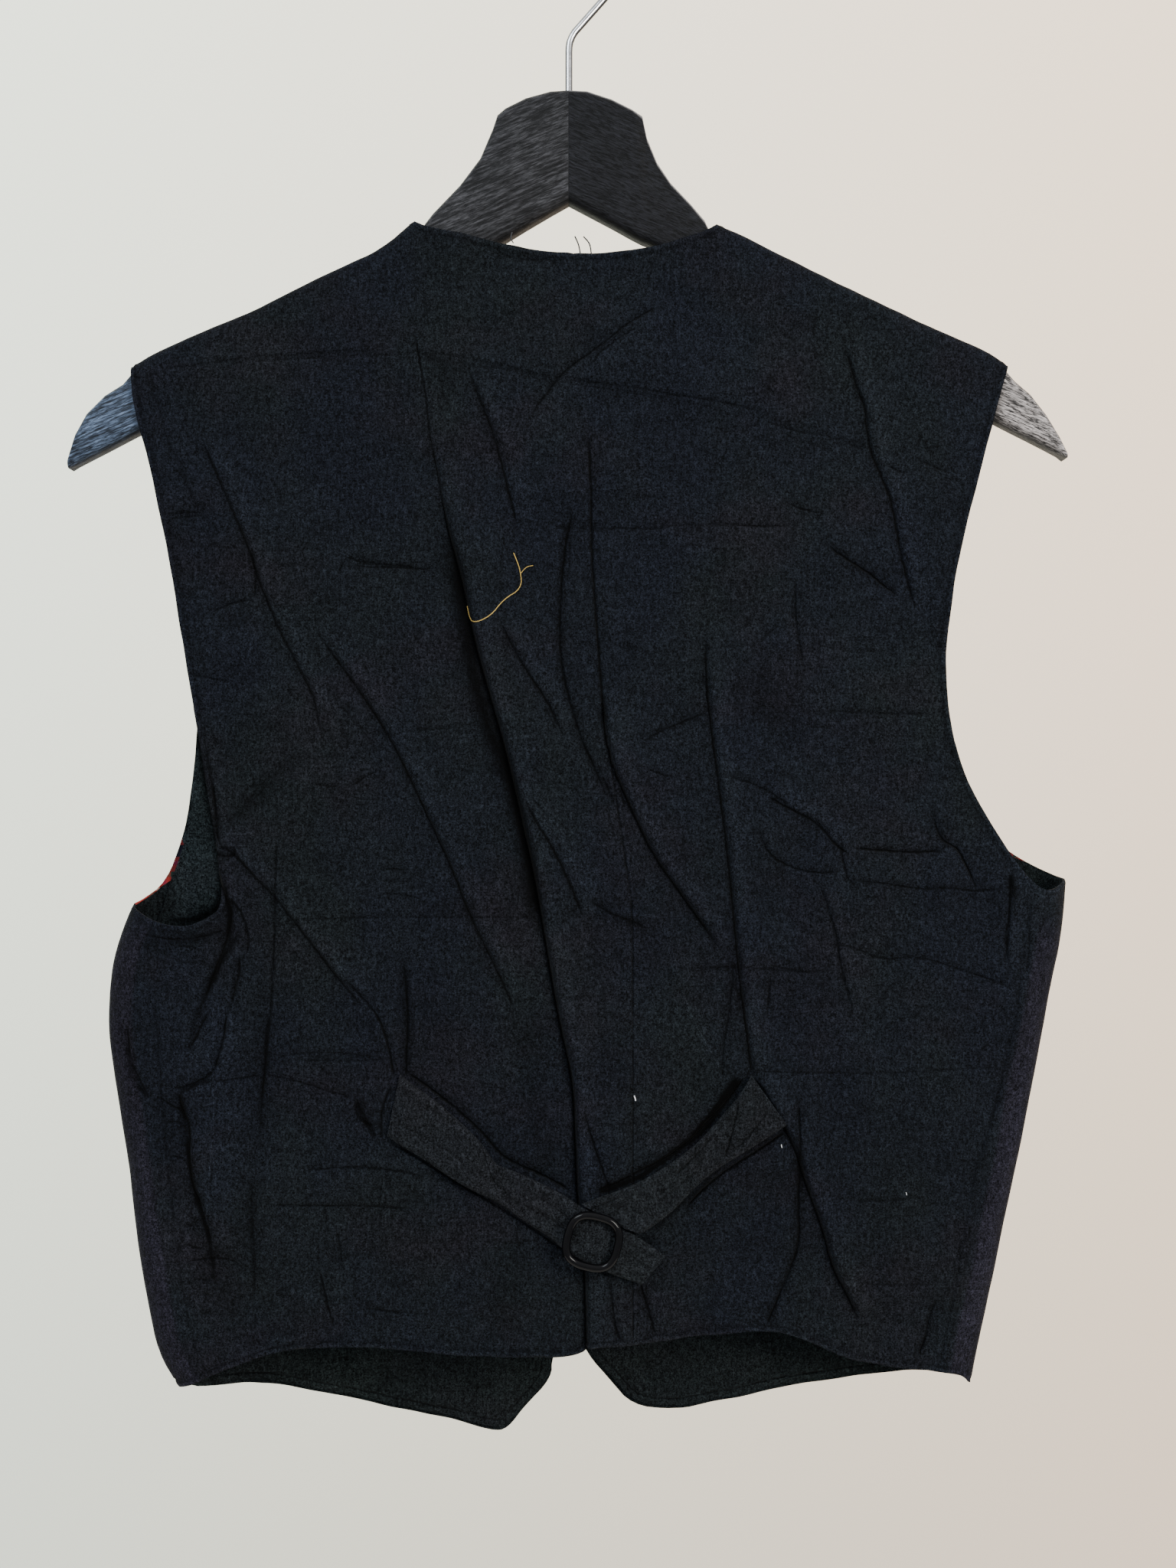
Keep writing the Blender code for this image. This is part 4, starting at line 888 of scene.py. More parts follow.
def billows(settings, x, z):
    # Soft unevenness at several sizes, longer waves higher
    chance = np.random.default_rng(settings["seed"])
    relief = np.zeros_like(x)
    for _ in range(settings["waves"]):
        length = math.exp(chance.uniform(*np.log(settings["lengths"])))
        turn = chance.uniform(0.0, math.pi)
        phase = chance.uniform(0.0, math.tau)
        steps = math.tau / (length * mm) * (math.cos(turn) * x + math.sin(turn) * z)
        relief += settings["height"] * length ** 0.75 * mm * np.sin(steps + phase)
    return relief


def insideOutline(outline, x, z):
    odd = np.zeros(x.shape, dtype=bool)
    for (x0, z0), (x1, z1) in zip(outline, np.roll(outline, -1, axis=0)):
        spans = (z0 > z) != (z1 > z)
        rise = z1 - z0 if z1 != z0 else 1.0
        odd ^= spans & (x < (x1 - x0) * (z - z0) / rise + x0)
    return odd


def clearOf(points, spots, distance):
    # Which spots lie further than the distance from all the points
    tree = KDTree(len(points))
    for number, point in enumerate(points):
        tree.insert((point[0], point[1], 0.0), number)
    tree.balance()
    return np.array([tree.find((spot[0], spot[1], 0.0))[2] > distance for spot in spots])


def filled(outline, rows, cell):
    # Flat triangles over an outline, with extra rows of points along edges and folds
    held = [outline]
    points = outline
    for row, spacing in rows:
        row = sampled(row, spacing)
        row = row[insideOutline(outline, row[:, 0], row[:, 1])]
        if len(row):
            row = row[clearOf(points, row, 0.45 * spacing)]
            held.append(row)
            points = np.vstack(held)
    rowHeight = cell * math.sqrt(3.0) / 2.0
    low, high = outline.min(axis=0), outline.max(axis=0)
    down, across = np.meshgrid(np.arange(math.floor(low[1] / rowHeight), math.ceil(high[1] / rowHeight)),
                               np.arange(math.floor(low[0] / cell), math.ceil(high[0] / cell)))
    lattice = np.column_stack((((across + 0.5 * (down % 2)) * cell).ravel(), (down * rowHeight).ravel()))
    lattice = lattice[insideOutline(outline, lattice[:, 0], lattice[:, 1])]
    lattice = lattice[clearOf(points, lattice, 0.55 * cell)]
    points = np.vstack((points, lattice))
    edges = [(k, (k + 1) % len(outline)) for k in range(len(outline))]
    flat = delaunay_2d_cdt([Vector(point) for point in points], edges, [], 0, 1e-7)
    spots = np.array([tuple(point) for point in flat[0]])
    corners = np.array([face for face in flat[2] if len(face) == 3])
    middle = spots[corners].mean(axis=1)
    return spots, corners[insideOutline(outline, middle[:, 0], middle[:, 1])]


def shell(name, outer, inner, triangles, finish, fields=None, behind=None):
    # Two faces of the same triangles, joined round their border into one closed piece.
    # The inner face and the border may have another finish.
    count = len(outer)
    forward = np.vstack((triangles, np.roll(triangles, -1, axis=1), np.roll(triangles, -2, axis=1)))[:, :2]
    keys = forward[:, 0] * count + forward[:, 1]
    border = forward[~np.isin(keys, forward[:, 1] * count + forward[:, 0])]
    rim = np.column_stack((border[:, 1], border[:, 0], count + border[:, 0], count + border[:, 1]))
    faces = triangles.tolist() + (count + triangles[:, ::-1]).tolist() + rim.tolist()
    mesh = bpy.data.meshes.new(name)
    mesh.from_pydata(np.vstack((outer, inner)).tolist(), [], faces)
    for key, values in (fields or {}).items():
        layer = mesh.attributes.new(key, "FLOAT", "POINT")
        layer.data.foreach_set("value", np.concatenate((values, values)).astype(np.float32))
    if behind:
        mesh.materials.append(finishes[finish])
        mesh.materials.append(finishes[behind])
        marks = np.concatenate((np.zeros(len(triangles)), np.ones(len(triangles) + len(rim))))
        mesh.polygons.foreach_set("material_index", marks.astype(np.int32))
    shape = bmesh.new()
    shape.from_mesh(mesh)
    bmesh.ops.delete(shape, geom=[vert for vert in shape.verts if not vert.link_faces], context="VERTS")
    bmesh.ops.recalc_face_normals(shape, faces=shape.faces)
    shape.to_mesh(mesh)
    shape.free()
    mesh.shade_smooth()
    mesh.set_sharp_from_angle(angle=math.radians(62))
    return added(name, mesh, finish)


def meshOf(shape, name):
    # The mesh of a shape built by hand, its faces turned outwards
    bmesh.ops.recalc_face_normals(shape, faces=shape.faces)
    mesh = bpy.data.meshes.new(name)
    shape.to_mesh(mesh)
    shape.free()
    return mesh


def added(name, data, finish):
    thing = bpy.data.objects.new(name, data)
    if not data.materials:
        data.materials.append(finishes[finish])
    bpy.context.scene.collection.objects.link(thing)
    return thing


def settled(piece, slot, *nodes):
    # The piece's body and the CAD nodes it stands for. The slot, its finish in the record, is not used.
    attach(piece, "root")
    if nodes:
        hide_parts(*nodes)
    return piece


def facePoints(outerDepth, x, z, sunk, relief, side):
    # Points of a face, moved `sunk` into the cloth, with the relief kept on it
    step = wall["slopeStep"]
    slopeX = (outerDepth(x + step, z) - outerDepth(x - step, z)) / (2.0 * step)
    slopeZ = (outerDepth(x, z + step) - outerDepth(x, z - step)) / (2.0 * step)
    scale = sunk / np.sqrt(1.0 + slopeX ** 2 + slopeZ ** 2)
    out = np.maximum(outerDepth(x, z) + relief * rolled(x, z) - scale, wall["seamGap"] / 2.0)
    return np.column_stack((x + slopeX * scale, side * out, z + slopeZ * scale))


def joined(*lines):
    # One closed outline from lines that end where the next one starts
    return np.vstack([line[:-1] for line in lines])


def edgeRelief(edges, x, z):
    # The turned edge stands a little proud with a painted highlight along it, with a stitched groove holding
    # painted shade and the hem's end inside it
    relief = np.zeros_like(x)
    paintedLightAndWear = np.zeros_like(x)
    for line in edges:
        near, aside, _, _ = nearRoute(line, x, z, edgeFinish["allowance"] + edgeFinish["beyond"])
        out = np.abs(aside)
        inside = edgeFinish["turned"] - out
        lift = edgeFinish["lift"] * smooth(inside / edgeFinish["liftFade"] + 0.5)
        groove = edgeFinish["groove"] * np.exp(-(inside / edgeFinish["grooveWidth"]) ** 2)
        inner = edgeFinish["step"] * smooth((edgeFinish["allowance"] - out) / edgeFinish["stepFade"] + 0.5)
        rounding = edgeFinish["rounding"] * (1.0 - rounded(out / edgeFinish["roundWidth"]))
        relief[near] += lift + inner - groove - rounding
        # A painted highlight along the turned edge and painted shade in its stitched groove
        paler = np.exp(-((out - 0.5 * edgeFinish["turned"]) / edgeFinish["soft"]) ** 2)
        stitched = np.exp(-(inside / edgeFinish["fine"]) ** 2)
        paintedLightAndWear[near] += edgeFinish["pale"] * paler - edgeFinish["dark"] * stitched
    return relief, paintedLightAndWear


def edgeRows(turned, shoulder, flank, side, spacing):
    # Rows of points beside the turned edges and inside the rolls at the shoulder and the flank
    rows = [(beside(sampled(line, spacing), sign * inset), spacing)
            for line in turned for inset in edgeFinish["rows"] for sign in (-1, 1)]
    rows += [(shoulder - (0.0, drop), spacing) for drop in edgeFinish["shoulderRows"]]
    return rows + [(flank - (side * inset, 0.0), spacing) for inset in edgeFinish["flankRows"]]


# pale and soft set the painted highlight along a turned edge, dark and fine the painted shade in its stitched
# groove
edgeFinish = dict(turned=0.0023, lift=0.0006, groove=0.0005, allowance=0.0095, step=0.00022,
                  rounding=0.0005, pale=0.45, dark=0.7, soft=0.0009, fine=0.0006, liftFade=0.0006,
                  grooveWidth=0.0005, stepFade=0.0012, roundWidth=0.0008, beyond=0.0040,
                  rows=(0.0004, 0.0011, 0.0017, 0.0023, 0.0030),
                  shoulderRows=(0.0006, 0.0018, 0.0035), flankRows=(0.0008, 0.0024, 0.005))
back = dict(cell=0.0018, edgeCell=0.0016, foldCell=0.0013, seamDip=0.0004, seamWidth=0.0011,
            seamSlant=0.0005, seamRows=(0.0006, 0.0014), allowance=0.012, pressed=0.013, pressedFrom=-0.44)
# Pale smudges on the back: x, z, half width, half height, how pale
smudges = ((36, -544.5, 2.5, 3.5, 0.6), (34.5, -528, 3.5, 6, 0.35), (29, -627, 3, 4, 0.5),
           (-120, -560, 30, 22, 0.14), (58, -440, 40, 30, -0.15), (120, -560, 60, 50, -0.2))


def foldRows(folds, settings):
    # Rows of points along each route, at its bottom and on both of its slopes
    rows = []
    for kind, *_, table in folds:
        route = sampled(curved(table), 2.0 * mm)
        rows += [(beside(route, aside * mm), settings["foldCell"]) for aside in foldAsides.get(kind, (0.0,))]
    return rows


def restDepthBack(x, z):
    return standing(z, 1) * rolled(x, z)


def backRelief(x, z):
    relief, paintedLightAndWear = foldRelief(backFolds, x, z)
    fine, fineFoldShade = foldRelief(crumpleFolds(crumple), x, z)
    paintedLightAndWear = paintedLightAndWear + 0.5 * fineFoldShade
    for across, up, halfWidth, halfHeight, pale in smudges:
        far = ((x / mm - across) / halfWidth) ** 2 + ((z / mm - up) / halfHeight) ** 2
        paintedLightAndWear += pale * np.exp(-far)
    return relief + fine + billows(billow, x, z), paintedLightAndWear


def backCreases():
    seamRow = ("crease", 1.0, 1.1, 12, 3, centreSeam[1:])
    return (*backFolds, seamRow, *crumpleFolds(crumple), *crumpleFolds(wrinkle))


def backDepth(x, z):
    relief, _ = backRelief(x, z)
    return restDepthBack(x, z) + relief * rolled(x, z)


def flatArea(spots, triangles):
    # The cloth's own area, before its folds
    a, b, c = (spots[triangles[:, k]] for k in range(3))
    return float(np.abs((b - a)[:, 0] * (c - a)[:, 1] - (b - a)[:, 1] * (c - a)[:, 0]).sum() / 2.0)


def partOf(line, low, high):
    # The line's points between two places across
    return line[(line[:, 0] > low) & (line[:, 0] < high)]


def makeBack():
    neckLine, hemLine = curved(neck), curved(backHem)
    for name, side, shoulder, armhole, flank in (
            ("back_left", -1, shoulderLeft, backArmholeLeft, flankLeft),
            ("back_right", 1, shoulderRight, backArmholeRight, flankRight)):
        seam = sampled(curved(centreSeam), back["edgeCell"])
        seam[:, 0] += side * wall["seam"] / 2.0
        order = slice(None) if side < 0 else slice(None, None, -1)
        hemPart = np.vstack((partOf(hemLine[order], *sorted((seam[-1, 0], side))), seam[-1:]))
        neckPart = np.vstack((partOf(neckLine[order], *sorted((seam[0, 0], side))), seam[:1]))
        shoulderLine, armholeLine, flankLine = curved(shoulder), curved(armhole), curved(flank)
        lines = [seam, hemPart[::-1], flankLine[::-1], armholeLine[::-1], shoulderLine[::-1], neckPart]
        outline = joined(*[sampled(line, back["edgeCell"]) for line in lines])
        turned = [neckPart, armholeLine, hemPart]
        rows = edgeRows(turned, shoulderLine, flankLine, side, back["edgeCell"])
        rows += [(seam + (side * inset, 0.0), back["edgeCell"]) for inset in back["seamRows"]]
        rows += foldRows(backFolds, back)
        spots, triangles = filled(outline, rows, back["cell"])
        x, z = spots[:, 0], spots[:, 1]
        relief, paintedLightAndWear = backRelief(x, z)
        edgeLift, edgeHighlightAndShade = edgeRelief(turned, x, z)
        relief += edgeLift
        near, off, _, _ = nearRoute(seam, x, z, 0.01)
        beyond = np.exp(-np.abs(off) / back["seamWidth"])
        relief[near] -= back["seamDip"] * beyond
        aside, strength = creaseField(backCreases(), x, z)
        outer = facePoints(restDepthBack, x, z, 0.0, relief, -1)
        inner = facePoints(restDepthBack, x, z, wall["cloth"], 0.85 * relief, -1)
        inner[near, 0] += back["seamSlant"] * beyond
        # The side seam's pressed allowance shows through as a strip along the flank
        tinge = np.zeros_like(x)
        near, off, _, _ = nearRoute(flankLine, x, z, 2.0 * back["pressed"])
        strip = smooth((back["pressed"] - np.abs(off)) / (2.0 * mm) + 0.5)
        tinge[near] = strip * smooth((back["pressedFrom"] - z[near]) / 0.02)
        fields = dict(paintedLightAndWear=paintedLightAndWear + edgeHighlightAndShade, aside=aside, strength=strength, tinge=tinge)
        piece = shell(name, outer, inner, triangles, "black_cotton", fields)
        settled(piece, "black_cotton", name)
        "hanger_left" if side < 0 else "hanger_right"
        flatArea(spots, triangles)
        print(name, len(piece.data.polygons))


print("back")
makeBack()


front = dict(cell=0.0025, edgeCell=0.0020, foldCell=0.0018, liningCell=0.0026, inset=0.002, sideInset=0.008,
             upper=-0.35, allowance=0.012, hemFold=0.005, hemRows=(0.0035, 0.005, 0.0065))
# How wide the checked cloth shows inside each armhole's edge: heights and widths
peepLeft = ((-0.442, -0.437, -0.433, -0.430, -0.418, -0.411), (0.0, 0.0006, 0.0006, 0.0032, 0.0034, 0.0))
peepRight = ((-0.4225, -0.4190, -0.4150), (0.0, 0.0016, 0.0))
# Where painted light brightens the inside seen through the left armhole: which way it grows, from where, over
# how far, with a painted shadow beside the back's edge
paintedArmholeLight = dict(across=((1, -0.181, 0.005), (-1, -0.130, 0.01)),
                    up=((1, -0.455, 0.01), (-1, -0.30, 0.02)), pale=2.7, dark=4.6, cast=0.0048, width=0.0026,
                    reach=0.012)
frontBillow = dict(seed=8, waves=40, lengths=(14, 90), height=0.012)
frontCrumple = dict(crumple, seed=31, count=260, low=(-205.0, -680.0))
liningCrumple = dict(frontCrumple, count=700)
liningWrinkle = dict(wrinkle, seed=44, low=frontCrumple["low"])


def restDepthFront(x, z):
    return standing(z, 2) * rolled(x, z)


def lappedDepthFront(x, z):
    # The left front rises over the right one at the centre
    return restDepthFront(x, z) + lap["rise"] * smooth((x - lap["start"]) / (lap["full"] - lap["start"]))


def frontRelief(x, z):
    relief, paintedLightAndWear = foldRelief(frontFolds, x, z)
    fine, fineFoldShade = foldRelief(crumpleFolds(frontCrumple), x, z)
    return relief + 0.7 * fine + billows(frontBillow, x, z), paintedLightAndWear


def pulledIn(corners, inset):
    # The closed outline moved towards its own inside
    after = np.roll(corners, -1, axis=0)
    area = np.sum(corners[:, 0] * after[:, 1] - after[:, 0] * corners[:, 1])
    runs = after - corners
    runs = runs / np.hypot(runs[:, 0], runs[:, 1])[:, None]
    across = runs + np.roll(runs, 1, axis=0)
    across = np.column_stack((-across[:, 1], across[:, 0]))
    across /= np.hypot(across[:, 0], across[:, 1])[:, None]
    return corners + across * inset * math.copysign(1.0, area)


def paintedLightThroughArmhole(x, z):
    # Painted light on the inside that shows through the left armhole, making it nearly as light as the back,
    # but for a painted shadow along the back's edge
    lit = 1.0
    for value, sides in ((x, paintedArmholeLight["across"]), (z, paintedArmholeLight["up"])):
        for sign, start, fade in sides:
            lit = lit * smooth(sign * (value - start) / fade)
    shadowed = curved(backArmholeLeft) - (paintedArmholeLight["cast"], 0.0)
    near, aside, _, _ = nearRoute(shadowed, x, z, paintedArmholeLight["reach"])
    pale = paintedArmholeLight["pale"] * lit
    pale[near] -= paintedArmholeLight["dark"] * np.exp(-(aside / paintedArmholeLight["width"]) ** 2) * lit[near]
    return pale


def makeFront(name, side, tables, depth):
    lines = [curved(table) for table in tables]
    outline = joined(*[sampled(line, front["edgeCell"]) for line in lines])
    shoulder, armhole, flank, hem, edge = lines
    turned = [armhole, hem, edge]
    rows = edgeRows(turned, shoulder, flank, side, front["edgeCell"])
    rows += foldRows(frontFolds, front)
    spots, triangles = filled(outline, rows, front["cell"])
    x, z = spots[:, 0], spots[:, 1]
    relief, paintedLightAndWear = frontRelief(x, z)
    edgeLift, edgeHighlightAndShade = edgeRelief(turned, x, z)
    relief += edgeLift
    outer = facePoints(depth, x, z, 0.0, relief, 1)
    inner = facePoints(depth, x, z, wall["cloth"], relief, 1)
    _, off, _, _ = nearRoute(armhole, x, z, 1.0)
    peepWidth = np.interp(z, *(peepLeft if side < 0 else peepRight))
    peep = np.clip(0.4 + (peepWidth - np.abs(off)) / (2.0 * mm), 0, 1)
    aside, strength = creaseField((*frontFolds, *crumpleFolds(frontCrumple)), x, z)
    fields = dict(paintedLightAndWear=paintedLightAndWear + edgeHighlightAndShade + paintedLightThroughArmhole(x, z), aside=aside, strength=strength, peep=peep)
    piece = shell("front_" + name, outer, inner, triangles, "checked_cloth", fields, "black_lining")
    settled(piece, "checked_cloth", "front_" + name)
    "hanger_" + name
    flatArea(spots, triangles)


def makeLining(name, side, tables, depth):
    # The front's lining, a little smaller all round and with its hem's fold showing
    shoulder, armhole, flank, hem, edge = (curved(table) for table in tables)
    insetShoulder = shoulder - (0.0, roll["shoulder"])
    insetFlank = flank - (side * front["sideInset"], 0.0)
    armholeKept = armhole[1:-1]
    reach = abs(insetFlank[0, 0]) - front["inset"]
    armholeKept = armholeKept[(np.abs(armholeKept[:, 0]) < reach) | (armholeKept[:, 1] > front["upper"])]
    hemKept = hem[1:-1]
    hemKept = hemKept[np.abs(hemKept[:, 0]) < abs(insetFlank[-1, 0]) - front["inset"]]
    corners = pulledIn(np.vstack((insetShoulder, armholeKept, insetFlank, hemKept, edge[:-1])),
                       front["inset"])
    outline = sampled(np.vstack((corners, corners[:1])), front["liningCell"])[:-1]
    hemRows = [(beside(sampled(hem, front["edgeCell"]), -side * inset), front["edgeCell"])
               for inset in front["hemRows"]]
    spots, triangles = filled(outline, hemRows, front["liningCell"])
    x, z = spots[:, 0], spots[:, 1]
    relief, paintedLightAndWear = frontRelief(x, z)
    hemFold = ("crease", 1.0, 1.2, 6, 6, (beside(hem, -side * front["hemFold"]) / mm).tolist())
    creases = (hemFold, *crumpleFolds(liningCrumple), *crumpleFolds(liningWrinkle))
    aside, strength = creaseField(creases, x, z)
    sunk = wall["cloth"] + wall["liningGap"]
    outer = facePoints(depth, x, z, sunk, relief, 1)
    inner = facePoints(depth, x, z, sunk + wall["lining"], relief, 1)
    fields = dict(paintedLightAndWear=paintedLightAndWear + paintedLightThroughArmhole(x, z), aside=aside, strength=strength)
    piece = shell("lining_" + name, outer, inner, triangles, "black_lining", fields)
    settled(piece, "black_lining", "lining_" + name)
    "hanger_" + name
    flatArea(spots, triangles)


print("fronts and lining")
linesLeft = (shoulderLeft, frontArmholeLeft, flankLeft, frontHemLeft, frontEdgeLeft)
linesRight = (shoulderRight, frontArmholeRight, flankRight, frontHemRight, frontEdgeRight)
for half in (("left", -1, linesLeft, lappedDepthFront), ("right", 1, linesRight, restDepthFront)):
    makeFront(*half)
    makeLining(*half)


# Each half, a row for each place along it: x and z of its upper edge, x and z of its lower edge,
# and how far it stands off the back
strapLeft = ((-73.5, -513.5, -79, -540.5, 0.7), (-65, -519.5, -70.5, -545.5, 0.9),
             (-56.5, -525.3, -62, -550.2, 1.1), (-43.6, -536.5, -50, -558.5, 1.4),
             (-37, -543.5, -41.5, -563.5, 1.6), (-32, -552.5, -34, -567.5, 1.8),
             (-26, -554.5, -29, -570, 1.9), (-17, -558, -22, -575, 2.0),
             (-8.8, -561.8, -15.4, -579.1, 2.2), (-2, -565.5, -8.5, -583.5, 2.3),
             (3.5, -568.7, -2.5, -588, 2.0), (12.8, -573.5, 5.5, -592.6, 1.8),
             (22, -578, 14.8, -597.4, 1.8), (32, -584.5, 23.5, -601.2, 1.8),
             (42, -591.8, 31.8, -604, 1.8))
strapRight = ((79.5, -513.5, 95, -535, 0.7), (73.5, -523, 84.5, -541.5, 1.0),
              (65.6, -532.2, 75.5, -547.5, 1.3), (55.6, -543.5, 64.5, -554, 1.6),
              (46, -550.5, 55, -562, 1.8), (38, -555.5, 47.5, -570, 2.0),
              (30, -559.8, 41.5, -575, 2.0), (21.5, -563, 35, -579.5, 1.9),
              (13.5, -565.5, 31, -581.5, 1.8), (5.8, -568.5, 25.8, -579.6, 1.8))
strap = dict(across=14, step=0.0013, thickness=0.0015, flat=0.35, ease=0.006, allowance=0.009, root=0.006,
             sunk=0.0012, pale=dict(strap_left=0.45, strap_right=0.2), waves=9, waveHeight=0.00011,
             waveSteps=(150, 900), bevel=0.0010, stitch=0.00022, stitchAt=0.0016, stitchWidth=0.0008)
# Creases in each half: shares along at its start and end, shares across from the lower edge
# at both, height in mm, width
strapCreasesLeft = ((0.335, 0.43, 0.99, 0.42, -0.8, 0.0010), (0.39, 0.47, 0.99, 0.25, -0.5, 0.0009),
                    (0.02, 0.26, 0.30, 0.42, -0.4, 0.0012), (0.44, 0.80, 0.30, 0.45, -0.35, 0.0011),
                    (0.50, 0.70, 0.72, 0.62, -0.3, 0.0010), (0.88, 0.99, 0.60, 0.45, -0.4, 0.0010))
strapCreasesRight = ((0.12, 0.37, 0.99, 0.08, -0.9, 0.0010), (0.02, 0.30, 0.40, 0.15, -0.6, 0.0011),
                     (0.30, 0.62, 0.85, 0.62, -0.5, 0.0009), (0.45, 0.75, 0.30, 0.42, -0.35, 0.0011),
                     (0.84, 0.99, 0.70, 0.55, -0.5, 0.0009), (0.84, 0.99, 0.90, 0.80, -0.5, 0.0009))


def makeStrap(name, table, creases):
    rows = np.array(table) * mm
    upper, lower = (curved([row[k:k + 2] for row in table]) for k in (0, 2))
    centres = (rows[:, 0:2] + rows[:, 2:4]) / 2.0
    marks = np.concatenate(([0.0], np.cumsum(np.hypot(*np.diff(centres, axis=0).T))))
    steps = np.linspace(0.0, len(upper) - 1.0, math.ceil(marks[-1] / strap["step"]) + 1)
    upper, lower = (np.column_stack([np.interp(steps, range(len(edge)), edge[:, k]) for k in (0, 1)])
                    for edge in (upper, lower))
    centre = (upper + lower) / 2.0
    lengths = np.concatenate(([0.0], np.cumsum(np.hypot(*np.diff(centre, axis=0).T))))
    share = lengths / lengths[-1]
    stand = np.interp(share, marks / marks[-1], rows[:, 4])
    width = np.hypot(*(upper - lower).T)
    places = np.linspace(0.0, 1.0, strap["across"] + 1)
    spots = lower[:, None, :] + (upper - lower)[:, None, :] * places[None, :, None]
    x, z = spots[..., 0], spots[..., 1]
    high = backDepth(x.ravel(), z.ravel()).reshape(x.shape).max(axis=1)
    reach = max(1, int(strap["ease"] / strap["step"]))
    for measure in (np.max, np.mean):
        padded = np.pad(high, reach, mode="edge")
        high = np.array([measure(padded[k:k + 2 * reach + 1]) for k in range(len(high))])
    rooted = smooth(lengths / strap["root"])
    level = (high + stand * rooted - strap["sunk"] * (1.0 - rooted))[:, None]
    along = np.broadcast_to(share[:, None], x.shape)
    across = np.broadcast_to(places[None, :], x.shape)
    relief = np.zeros_like(x)
    aside = np.full_like(x, crispCrease["reach"])
    strength = np.zeros_like(x)
    for start, end, first, last, height, spread in creases:
        at = (along - start) / (end - start)
        off = (across - first - (last - first) * np.clip(at, 0.0, 1.0)) * width[:, None]
        risen = smooth(at / 0.2) * smooth((1.0 - at) / 0.2)
        relief += height * mm * np.exp(-np.abs(off) / spread) * risen
        power = -height / 0.8 * risen * np.exp(-(off / mm / crispCrease["near"]) ** 2)
        closer = power > strength
        aside = np.where(closer, -off / mm, aside)
        strength = np.where(closer, power, strength)
    chance = np.random.default_rng(len(table))
    for _ in range(strap["waves"]):
        steps = chance.uniform(*strap["waveSteps"]) * x + chance.uniform(*strap["waveSteps"]) * z
        relief += strap["waveHeight"] * np.sin(steps + chance.uniform(0, 6))
    edge = np.minimum(across, 1.0 - across) * width[:, None]
    bevel = rounded(edge / strap["bevel"])
    relief += strap["stitch"] * np.exp(-((edge - strap["stitchAt"]) / strap["stitchWidth"]) ** 2)
    outer = level + strap["thickness"] * (strap["flat"] + (1.0 - strap["flat"]) * bevel) + relief * bevel
    inner = np.broadcast_to(level, x.shape)
    grid = np.arange(x.size).reshape(x.shape)
    a, b, c, d = (corner.ravel() for corner in (grid[:-1, :-1], grid[:-1, 1:], grid[1:, 1:], grid[1:, :-1]))
    triangles = np.vstack((np.column_stack((a, b, c)), np.column_stack((a, c, d))))
    # Paler all over, with painted shade in the strap's creases, painted light where it rises, and paler along
    # its edges
    paintedLightAndWear = strap["pale"][name] + 0.6 * relief / mm + 0.3 * np.exp(-edge / strap["stitchWidth"])
    fields = dict(paintedLightAndWear=paintedLightAndWear.ravel(), aside=aside.ravel(), strength=strength.ravel())
    piece = shell(name, np.column_stack((x.ravel(), -outer.ravel(), z.ravel())),
                  np.column_stack((x.ravel(), -inner.ravel(), z.ravel())), triangles, "strap_cotton", fields)
    settled(piece, "black_cotton", name)


buckle = dict(centre=(0.0105, -0.584), size=0.0255, bar=0.0036, turn=14, squareness=2.8, steps=96, sides=8)


def tube(name, points, radius, cyclic, sides, finish):
    # A round wire or thread along the points
    curve = bpy.data.curves.new(name, "CURVE")
    curve.dimensions = "3D"
    curve.bevel_depth = radius
    curve.bevel_resolution = sides
    curve.use_fill_caps = not cyclic
    spline = curve.splines.new("POLY")
    spline.points.add(len(points) - 1)
    for spot, point in zip(spline.points, points):
        spot.co = (*point, 1.0)
    spline.use_cyclic_u = cyclic
    spline.use_smooth = True
    return added(name, curve, finish)


def makeBuckle():
    reach = (buckle["size"] - buckle["bar"]) / 2.0
    low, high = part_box("buckle")
    middle = (low[1] + high[1]) / 2.0
    points = []
    for step in range(buckle["steps"]):
        angle = math.tau * step / buckle["steps"]
        power = buckle["squareness"]
        stretch = (abs(math.cos(angle)) ** power + abs(math.sin(angle)) ** power) ** (-1.0 / power)
        turned = angle - math.radians(buckle["turn"])
        points.append((buckle["centre"][0] + reach * stretch * math.cos(turned), middle,
                       buckle["centre"][1] + reach * stretch * math.sin(turned)))
    piece = tube("buckle", points, buckle["bar"] / 2.0, True, buckle["sides"], "black_plastic")
    settled(piece, "black_plastic", "buckle")


print("strap and buckle")
makeStrap("strap_left", strapLeft, strapCreasesLeft)
makeStrap("strap_right", strapRight, strapCreasesRight)
makeBuckle()


button = dict(count=5, radius=0.0075, height=0.0026, well=0.72, segments=48,
              holes=0.0016, threadRadius=0.00032, threadLow=-0.0003, threadHigh=0.0005)
# The button's outline: shares of its radius and of its height
buttonProfile = ((0.0, 0.0), (0.78, 0.0), (0.9, 0.08), (1.0, 0.32), (1.0, 0.68), (0.96, 0.9), (0.88, 1.0),
                 (0.76, 0.98), (0.66, 0.86), (0.6, 0.76), (0.5, button["well"]), (0.0, button["well"]))


